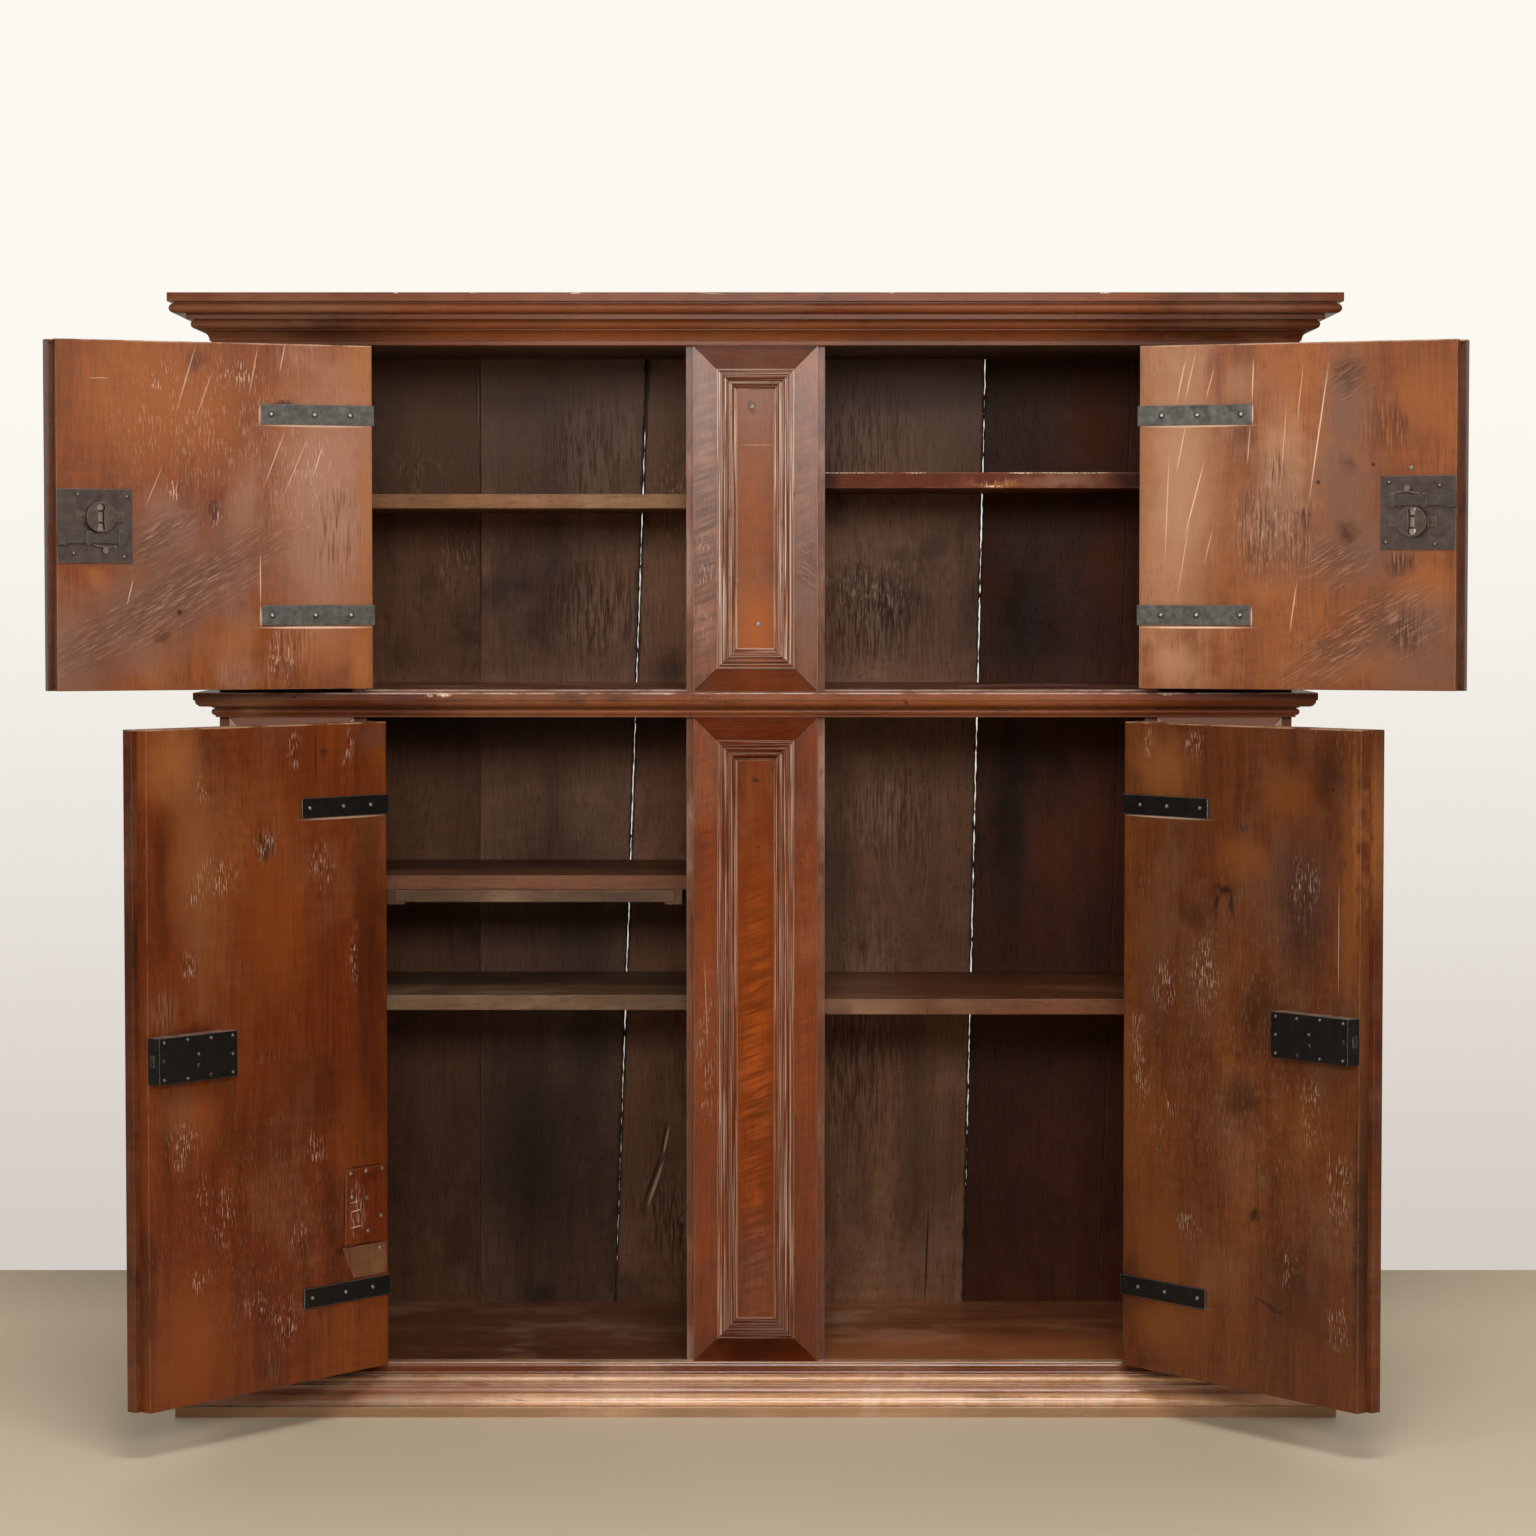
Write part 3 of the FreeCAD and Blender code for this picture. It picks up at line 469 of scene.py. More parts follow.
def iron(name, skin, bare, rust, seed=0.0, door=None, rust_share=0.4, metallic=0.75, edge=0.7,
         edge_colour=(190, 185, 178), edge_radius=0.0012, dust=0.0, heads=(), head_tone=(168, 160, 150)):
    """Forged iron with bright rubbed edges. Heads are nails or rivets, drawn as a painted highlight on the crown inside
    a painted shadow ring.
    """
    material, tree, shader = new_material(name)
    vector = wood_vector(tree, door)
    metal = placed(IRON, vector, seed=seed, skin=linear(skin), bare=linear(bare), rust=linear(rust),
                   rust_share=rust_share)
    rim = placed(EDGES, vector, seed=seed, radius=edge_radius, breaks=0.35)
    colour = mixed(rim["Mask"] * edge, metal["Colour"], edge_colour)
    if dust:
        upward = fade(parts_of(true_normal(tree))[2], 0.6, 0.9)
        colour = mixed(upward * fade(noise(vector, 60.0, 3.0), 0.30, 0.55, 0.3, dust), colour, (176, 150, 138))
    for across, height, radius in heads:
        # Each head: a painted shadow ring, set a little low, and a painted highlight on the crown, set a little high.
        for reach, lift, strength, tint in ((1.5, -0.1, 0.75, (20, 18, 17)), (0.75, 0.15, 0.9, head_tone)):
            disc = placed(MARK, vector, place=(side_of(door) * across, 0.0, height + lift * radius),
                          half_size=(radius * reach, THROUGH, radius * reach))["Mask"]
            colour = mixed(disc * strength, colour, tint)
    connect(tree, shader, rim, colour, metal["Roughness"], metal["Height"], 0.25, 0.0005)
    shader.inputs["Metallic"].default_value = metallic
    return material


def finish(node_name, material):
    """Give a CAD node its finish on every slot."""
    slots = nodes[node_name].data.materials
    for index in range(len(slots)):
        slots[index] = material


def front_of(node_name):
    return min(corner[1] for corner in nodes[node_name].bound_box)


def woods(names, start, along, body, deep, light, dusty, **settings):
    """One finish for each named node, each with its own seed so that no two boards match."""
    for number, node_name in enumerate(names.split()):
        finish(node_name, timber(node_name.replace("_", " ") + " walnut", body, deep, light, dusty,
                                 start + 2.3 * number, along, front=front_of(node_name), **settings))


# Finishes of the carcase
def floor_patches(vector, colour, height):
    """Painted light on the lower floor: painted shade on the left, and a painted pool of orange light in front on the
    right.
    """
    x, y, z = parts_of(vector)
    drift = fused(noise(vector, 9.0, 3.0), 0.2, -0.1)
    # Painted shade on the left, where the open left door keeps the light off.
    left = fade(x + drift, 0.02, -0.06)
    colour = mixed(left * 0.55, colour, (70, 38, 24))
    # A painted pool of orange light in front on the right.
    right = (1.0 - left) * fade(y + drift, 0.08, -0.10)
    return mixed(right * 0.7, colour, (176, 104, 58)), height


def pale_crest(level, tint, strength, front=None):
    """Extra step: a pale band along a top edge at a level, only near the front if that is given: dust and wear on the
    doors, wear and a painted sheen on the waist and the mid board.
    """
    def step(vector, colour, height):
        x, y, z = parts_of(vector)
        broken = fade(streaks(vector, 26.0, 8.0, 0.0, 4.0, 0.65), 0.36, 0.58)
        share = fade(z, level - 0.0024, level - 0.0008, 0.0, strength)
        if front is not None:
            share = share * fade(y, front + 0.035, front + 0.005)
        return mixed(share * broken, colour, tint), height
    return step


def plinth_bands(vector, colour, height):
    """The plinth is rubbed pale on its roundings, has painted shade in its hollows and over its left end, and is greyer
    on its foot.
    """
    x, y, z = parts_of(vector)
    smoke = streaks(vector, 4.0, 4.0, detail=3.0)
    # Painted shadow of the open left door over the plinth's left end.
    colour = mixed(fade(fused(smoke, 0.3, x), -0.05, -0.45) * 0.75, colour, (104, 56, 30))
    # The first two bands are painted shade in the hollows; the last is the greyer foot.
    for low, high, tint, strength in ((0.0525, 0.0650, (112, 56, 26), 1.0), (0.0300, 0.0410, (128, 68, 38), 0.75),
                                      (-0.001, 0.0132, (140, 102, 62), 0.95)):
        here = (z > low) * (z < high)
        colour = mixed(here * fade(smoke, 0.25, 0.60, 0.55 * strength, strength), colour, tint)
    return colour, height


CORNICE_MARKS = {
    "warm": ((-270, 1495, 260, 50, 0.7), (300, 1500, 200, 40, 0.4)),
    "worn": ((-640, 1500, 140, 40, 0.5), (660, 1510, 100, 30, 0.4)),
    "dark": ((-560, 1480, 100, 20, 0.5), (560, 1480, 140, 30, 0.4)),
    "chip": ((-244, 1530, 12, 2.2, 1), (-484, 1530, 5, 1.8, 1), (-380, 1530, 6, 1.6, 0.9), (180, 1530, 9, 1.6, 0.8),
        (470, 1530, 10, 2, 0.9)),
    "line": ((-60, 1528.5, 0.6, 22, 0.6, 86),),
}
WAIST_MARKS = {
    "warm": ((-230, 966, 200, 12, 0.7), (300, 975, 250, 12, 0.6)),
    "dark": ((-480, 975, 80, 20, 0.5), (205, 974, 4, 4, 1)),
    "chip": ((-424, 986, 10, 2.8, 1), (-444, 985, 5, 2.2, 1), (-330, 988, 6, 1.6, 0.9), (-120, 988, 5, 1.5, 0.9),
        (560, 987, 7, 1.8, 0.9)),
    "torn": ((-60, 978, 60, 8, 0.5),),
    # The worn patch at the left end is a painted sheen on the moulding.
    "worn": ((-700, 978, 70, 20, 0.9),),
    "hole": ((-628, 983, 4, 2, 0.9, 20),),
}
RIGHT_SHELF_MARKS = {
    "chip": ((370, 1292.5, 18, 1.6, 1), (222, 1292.5, 16, 1.2, 0.9), (330, 1273.5, 14, 1.4, 0.9),
        (120, 1292.5, 70, 1.2, 0.8), (440, 1292.5, 60, 1.2, 0.9)),
    "dark": ((100, 1282, 20, 20, 0.9), (525, 1282, 30, 20, 1)),
    "gold": ((340, 1276, 50, 5, 0.5),),
    "flecks": ((330, 1280, 30, 6, 0.8),),
    "worn": ((430, 1284, 60, 12, 0.6),),
}
woods("cornice_front", 1.1, "X", (104, 50, 22), (52, 24, 12), (136, 74, 38), (134, 92, 66), worn=0.35, dark=0.9,
      torn=0.3, scratch=0.25, edge_colour=(166, 112, 78), edge_radius=0.0022, wax=0.15, gloss=0.36, shine=0.12,
      marks=CORNICE_MARKS)
woods("cornice_left cornice_right", 4.1, "Y", (118, 66, 40), (60, 30, 19), (150, 92, 60), (150, 110, 88),
      worn=0.4, dark=0.8, torn=0.3, edge=0.55, edge_colour=(170, 124, 96), edge_radius=0.0022, wax=0.4, gloss=0.34)
# The waist's pale top edge is wear and a painted sheen.
woods("waist_front", 6.4, "X", (110, 50, 20), (56, 25, 12), (144, 78, 36), (146, 98, 66), worn=0.4, dark=0.8,
      torn=0.3, scratch=0.25, edge=0.55, edge_colour=(178, 130, 100), edge_radius=0.002, wax=0.45, gloss=0.32,
      shine=0.2, marks=WAIST_MARKS, extra=pale_crest(0.989, (216, 190, 176), 0.8, front_of("waist_front")))
woods("waist_left waist_right", 8.4, "Y", (120, 68, 42), (62, 32, 20), (150, 92, 60), (150, 110, 88), worn=0.4,
      dark=0.8, edge=0.55, edge_colour=(170, 124, 96), edge_radius=0.002, wax=0.4, gloss=0.34)
woods("plinth_front", 11.2, "X", (216, 162, 118), (104, 60, 36), (244, 202, 164), (238, 204, 170), worn=0.7,
      dark=0.45, edge=0.7, edge_colour=(236, 204, 168), edge_radius=0.0025, wax=1.5, gloss=0.24, shine=0.4,
      extra=plinth_bands)
woods("plinth_left plinth_right", 13.2, "Y", (142, 92, 60), (84, 48, 30), (180, 134, 100), (188, 150, 120),
      worn=0.6, dark=0.6, edge=0.7, edge_colour=(200, 164, 132), edge_radius=0.0025, wax=0.4, gloss=0.34)
woods("post_left post_centre post_right", 16.0, "Z", (116, 64, 40), (60, 32, 21), (146, 90, 60), (168, 132, 112),
      worn=0.7, dark=0.6, edge=0.6, wax=0.3)
woods("side_left side_right", 23.0, "Z", (120, 70, 42), (66, 36, 22), (150, 94, 60), (150, 112, 88), dark=0.7,
      scratch=0.4)
woods("top_board centre_bearer", 27.0, "X", (98, 70, 50), (58, 40, 29), (128, 96, 72), (140, 116, 96), worn=0.7,
      dark=0.7, torn=0.7, wax=0.0, gloss=0.62)
woods("partition_lower partition_upper", 31.0, "Z", (84, 54, 38), (46, 29, 21), (108, 74, 52), (110, 84, 66),
      worn=0.6, dark=0.8, wax=0.05, gloss=0.5)
woods("floor_board", 36.0, "X", (124, 70, 40), (58, 30, 18), (182, 122, 80), (186, 142, 110), worn=0.75, dark=0.8,
      torn=0.6, scratch=0.7, edge=0.8, edge_colour=(206, 168, 136), wax=0.3, gloss=0.36, extra=floor_patches)
# The mid board's pale front edge is wear and a painted sheen.
woods("mid_board", 38.3, "X", (112, 64, 42), (58, 32, 21), (150, 98, 68), (166, 128, 106), worn=0.7, torn=0.6,
      scratch=0.7, edge=0.8, edge_colour=(216, 186, 166), wax=0.2, gloss=0.40,
      extra=pale_crest(0.992, (206, 178, 164), 0.6, front_of("mid_board")))
woods("shelf_cleats board_runners", 41.0, "Y", (92, 62, 44), (52, 34, 24), (120, 88, 64), (130, 104, 84), dark=0.7,
      wax=0.0, gloss=0.55)
woods("upper_left_shelf", 44.0, "X", (114, 75, 47), (70, 43, 27), (146, 104, 70), (156, 122, 92), worn=0.6,
      edge=0.6, wax=0.0, gloss=0.5, shine=0.14)
woods("upper_right_shelf", 46.0, "X", (98, 46, 28), (56, 26, 17), (124, 68, 42), (146, 106, 84), worn=0.3,
      dark=0.6, torn=0.4, edge=0.6, edge_colour=(196, 156, 122), wax=0.0, gloss=0.5, shine=0.1,
      marks=RIGHT_SHELF_MARKS)
woods("lower_left_upper_shelf", 48.0, "X", (108, 65, 42), (58, 34, 23), (138, 92, 62), (146, 108, 82), dark=0.7,
      wax=0.1, gloss=0.46)
woods("lower_left_lower_shelf", 50.0, "X", (104, 77, 54), (60, 42, 29), (136, 106, 78), (146, 120, 94), dark=0.7,
      wax=0.1, gloss=0.46)
woods("lower_right_shelf", 52.0, "X", (102, 58, 32), (56, 31, 20), (130, 80, 46), (142, 106, 80), worn=0.4,
      dark=0.6, edge=0.6, wax=0.1, gloss=0.46, marks={
          "worn": ((150, 530, 75, 50, 0.7),), "hole": ((239, 530, 0.8, 20, 0.8),), "dark": ((120, 530, 20, 20, 0.5),)})
woods("pull_out_board", 54.0, "X", (92, 66, 48), (54, 38, 28), (124, 94, 70), (136, 108, 84), worn=0.6, dark=0.7,
      wax=0.0, gloss=0.52)

# Back planks: seams run from foot to top, and numbers 1 and 3 are open
HALF_WIDTH = 0.736
SEAM_FEET = tuple(share * HALF_WIDTH for share in (-0.562, -0.290, 0.092, 0.418, 0.692))
SEAM_TOPS = tuple(share * HALF_WIDTH for share in (-0.556, -0.218, 0.095, 0.461, 0.756))
PLANK_FACE = 0.2545
TOP_FACE = 1.492
PLANK_TONES = ((1.00, 0.90, 0.80), (1.45, 1.50, 1.60), (1.55, 1.45, 1.35), (1.40, 1.40, 1.45),
               (0.46, 0.24, 0.12), (0.45, 0.22, 0.10))
PLANK_FEET = (0.5, 0.32, 0.52, 0.98, 0.90, 0.90)


def seam_place(level, number):
    return fused(level, (SEAM_TOPS[number] - SEAM_FEET[number]) / TOP_FACE, SEAM_FEET[number])


def plank_number(vector):
    """Counts the seams to the left of a point: 0 for the left plank up to 5 for the right one."""
    x, y, z = parts_of(vector)
    return sum((x > seam_place(z, number) for number in range(len(SEAM_FEET))), 0.0)


def plank_tint(vector, colour, height):
    """Each plank has its own tone, most are darker towards the foot, painted shade lies on the inside just under the
    mid board, and open seams have painted shade along their edges.
    """
    number = plank_number(vector)
    x, y, z = parts_of(vector)
    low = fade(z, 0.95, 0.25)
    colour = mixed(fade(z, 1.22, 1.42, 0.0, 0.55), colour, (116, 92, 76))
    # Painted shade on the inner face just under the mid board, stronger on the left.
    under = fade(z, 0.86, 0.95) * (z < 0.992) * (y < PLANK_FACE + 0.001) * fade(x, 0.1, -0.1, 0.2, 0.9)
    colour = mixed(under, colour, (22, 15, 12))
    for place, (tint, foot) in enumerate(zip(PLANK_TONES, PLANK_FEET)):
        here = combine("COMPARE", number, float(place), 0.4)
        colour = mixed(here, colour, tint + (1.0,), "MULTIPLY")
        colour = mixed(here * low, colour, (foot, foot * 0.97, foot * 0.93, 1.0), "MULTIPLY")
    ragged = noise(vector, 60.0, 4.0) * 0.008
    # Painted shade along both edges of each open seam.
    for seam in (1, 3):
        edge = fade(abs(x - seam_place(z, seam)) - ragged, 0.001, -0.002, 0.0, 0.85)
        colour = mixed(edge, colour, (34, 20, 16))
    return colour, height


PLANK_MARKS = {
    "torn": ((-120, 180, 50, 80, 0.9, 30), (-100, 420, 30, 100, 0.7, 12), (140, 1350, 100, 100, 0.7),
        (160, 1090, 100, 80, 0.8), (-240, 1340, 80, 80, 0.7), (-230, 1100, 80, 80, 0.7), (150, 450, 80, 200, 0.6),
        (200, 800, 80, 80, 0.6)),
    "dark": ((-250, 500, 50, 200, 0.6), (-340, 300, 60, 150, 0.6), (-300, 1150, 50, 100, 0.5),
        (200, 1110, 50, 50, 0.7), (120, 700, 30, 200, 0.5), (240, 300, 30, 200, 0.5), (-350, 1400, 100, 30, 0.7),
        (200, 1410, 120, 30, 0.7), (-130, 1010, 30, 30, 0.7), (-157, 1462, 22, 16, 1), (375, 800, 30, 200, 0.9),
        (395, 1090, 40, 90, 0.8)),
    "hole": ((254, 131, 1.2, 68, 0.9, -2), (252, 63, 3, 3, 1), (-156, 248, 2.2, 40, 0.7, -19),
        (-139, 310, 1.4, 24, 0.6, -11), (-158, 1458, 8, 12, 0.8), (-409, 1250, 1, 220, 0.7)),
    "line": ((-135, 308, 2, 22, 0.8, -11), (-151, 243, 2.6, 36, 0.8, -19), (-411.5, 1400, 1, 55, 0.6)),
    "flecks": ((-500, 1310, 40, 50, 0.5), (-450, 1180, 50, 50, 0.5), (170, 1130, 80, 50, 0.6),
        (-130, 1280, 30, 100, 0.5)),
    "gold": ((505, 1390, 55, 70, 0.6), (525, 1170, 35, 80, 0.35), (440, 744, 40, 60, 0.4), (500, 780, 35, 120, 0.35)),
}
PLANKS = timber("old back planks", (106, 72, 50), (52, 34, 24), (128, 94, 70), (126, 94, 74), seed=60.0, worn=0.6,
                dark=0.7, scratch=0.06, wander=1.6, edge_colour=(150, 124, 100), wax=0.0, gloss=0.46, bump=0.7,
                shine=0.15, number_from=plank_number, extra=plank_tint, marks=PLANK_MARKS)
finish("back_planks", PLANKS)

# Pilasters: mitred frames round a panel
PILASTER_MARKS = {
    "upper": {
        "curl": ((-68, 1230, 22, 240, 1), (66, 1280, 16, 160, 0.5), (0, 1200, 24, 160, 0.12)),
        "worn": ((-70, 1200, 18, 240, 0.6), (70, 1180, 18, 200, 0.5), (0, 1390, 30, 60, 0.4)),
        "warm": ((0, 1075, 34, 70, 1), (0, 1240, 34, 160, 0.4)),
        "ash": ((70, 1150, 14, 100, 0.8), (-70, 1220, 14, 140, 0.5)),
        "scrape": ((70, 1155, 20, 40, 0.8),),
        "line": ((1, 1327, 0.6, 22, 0.5, 90),),
        "dark": ((-6, 1379, 6, 6, 0.6),),
        "flecks": ((-68, 1150, 16, 100, 0.6),),
    },
    "lower": {
        "curl": ((0, 440, 24, 340, 0.9), (68, 520, 14, 300, 0.35), (-68, 800, 14, 120, 0.4)),
        "warm": ((0, 560, 30, 300, 0.8), (-66, 600, 20, 300, 0.5), (66, 520, 18, 200, 0.4)),
        "ash": ((0, 180, 30, 100, 0.5),),
        "dark": ((0, 85, 85, 22, 0.7), (60, 130, 30, 50, 0.4), (0, 865, 4, 4, 0.8), (2, 775, 4, 4, 0.8)),
        "flecks": ((-68, 500, 14, 120, 0.5),),
        "line": ((-68, 560, 0.8, 60, 0.4, 2),),
    },
}
PILASTER_LOOKS = {
    # Upper pilasters: the pale edge colour is partly a painted glint on rubbed edges, and the bead setting paints
    # glints along the beads; lower ones carry weaker bead glints.
    "upper": dict(body=(116, 64, 36), deep=(74, 37, 22), light=(162, 88, 38), dusty=(138, 101, 84),
                  edge_colour=(228, 198, 176), beads=0.8),
    "lower": dict(body=(108, 47, 12), deep=(58, 25, 7), light=(138, 62, 14), dusty=(138, 90, 58),
                  edge_colour=(184, 142, 112), beads=0.45),
}


def pale_strip(vector, colour, height):
    """The facing just under the waist turns pale."""
    level = fused(noise(vector, 26.0, 4.0) - 0.5, 0.03, parts_of(vector)[2])
    return mixed(fade(level, 0.900, 0.925, 0.0, 0.85), colour, (196, 160, 142)), height


for tier, middle, half_height, start in (("upper", 1.2255, 0.2365, 80.0), ("lower", 0.5105, 0.4445, 70.0)):
    for number, (place, across) in enumerate((("left", -0.6355), ("centre", 0.0), ("right", 0.6355))):
        finish("pilaster_" + tier + "_" + place, timber(
            tier + " " + place + " pilaster", seed=start + 3 * number,
            mitre=((across, 0.0, middle), (0.085, 0.0, half_height), 0.0595), worn=0.3, dark=0.6, torn=0.25,
            scratch=0.2, curl=0.06, edge=0.9, edge_radius=0.0022, breaks=0.4, wax=0.35, gloss=0.28, bump=0.3,
            shine=0.2, marks=PILASTER_MARKS[tier] if place == "centre" else None,
            extra=None if tier == "upper" or place == "centre" else pale_strip, **PILASTER_LOOKS[tier]))

# Doors: board inside, mitred frame outside
KEY_X = 0.154
KEY_LEVELS = {"upper_left": 1.225, "upper_right": 1.219}
UPPER_LOOK = dict(worn=0.4, dark=0.35, scratch=0.3, gloss=0.46, wax=0.12, shine=0.14, edge=0.75,
                  edge_colour=(190, 152, 120))
LOWER_LOOK = dict(dark=0.5, torn=0.6, scratch=0.2, wax=0.25, shine=0.2, edge=0.6, edge_colour=(172, 122, 84))
DOOR_TONES = {
    "upper_left": dict(body=(127, 65, 27), deep=(80, 44, 29), light=(158, 90, 36), dusty=(168, 122, 98), torn=0.6,
                       **UPPER_LOOK),
    "upper_right": dict(body=(135, 76, 40), deep=(78, 46, 33), light=(160, 95, 49), dusty=(184, 136, 103), torn=0.5,
                        **UPPER_LOOK),
    "lower_left": dict(body=(110, 48, 18), deep=(56, 25, 12), light=(138, 70, 26), dusty=(130, 84, 54), worn=0.3,
                       gloss=0.36, **LOWER_LOOK),
    "lower_right": dict(body=(102, 54, 27), deep=(56, 30, 19), light=(130, 74, 34), dusty=(120, 84, 60), worn=0.35,
                        gloss=0.38, **LOWER_LOOK),
}
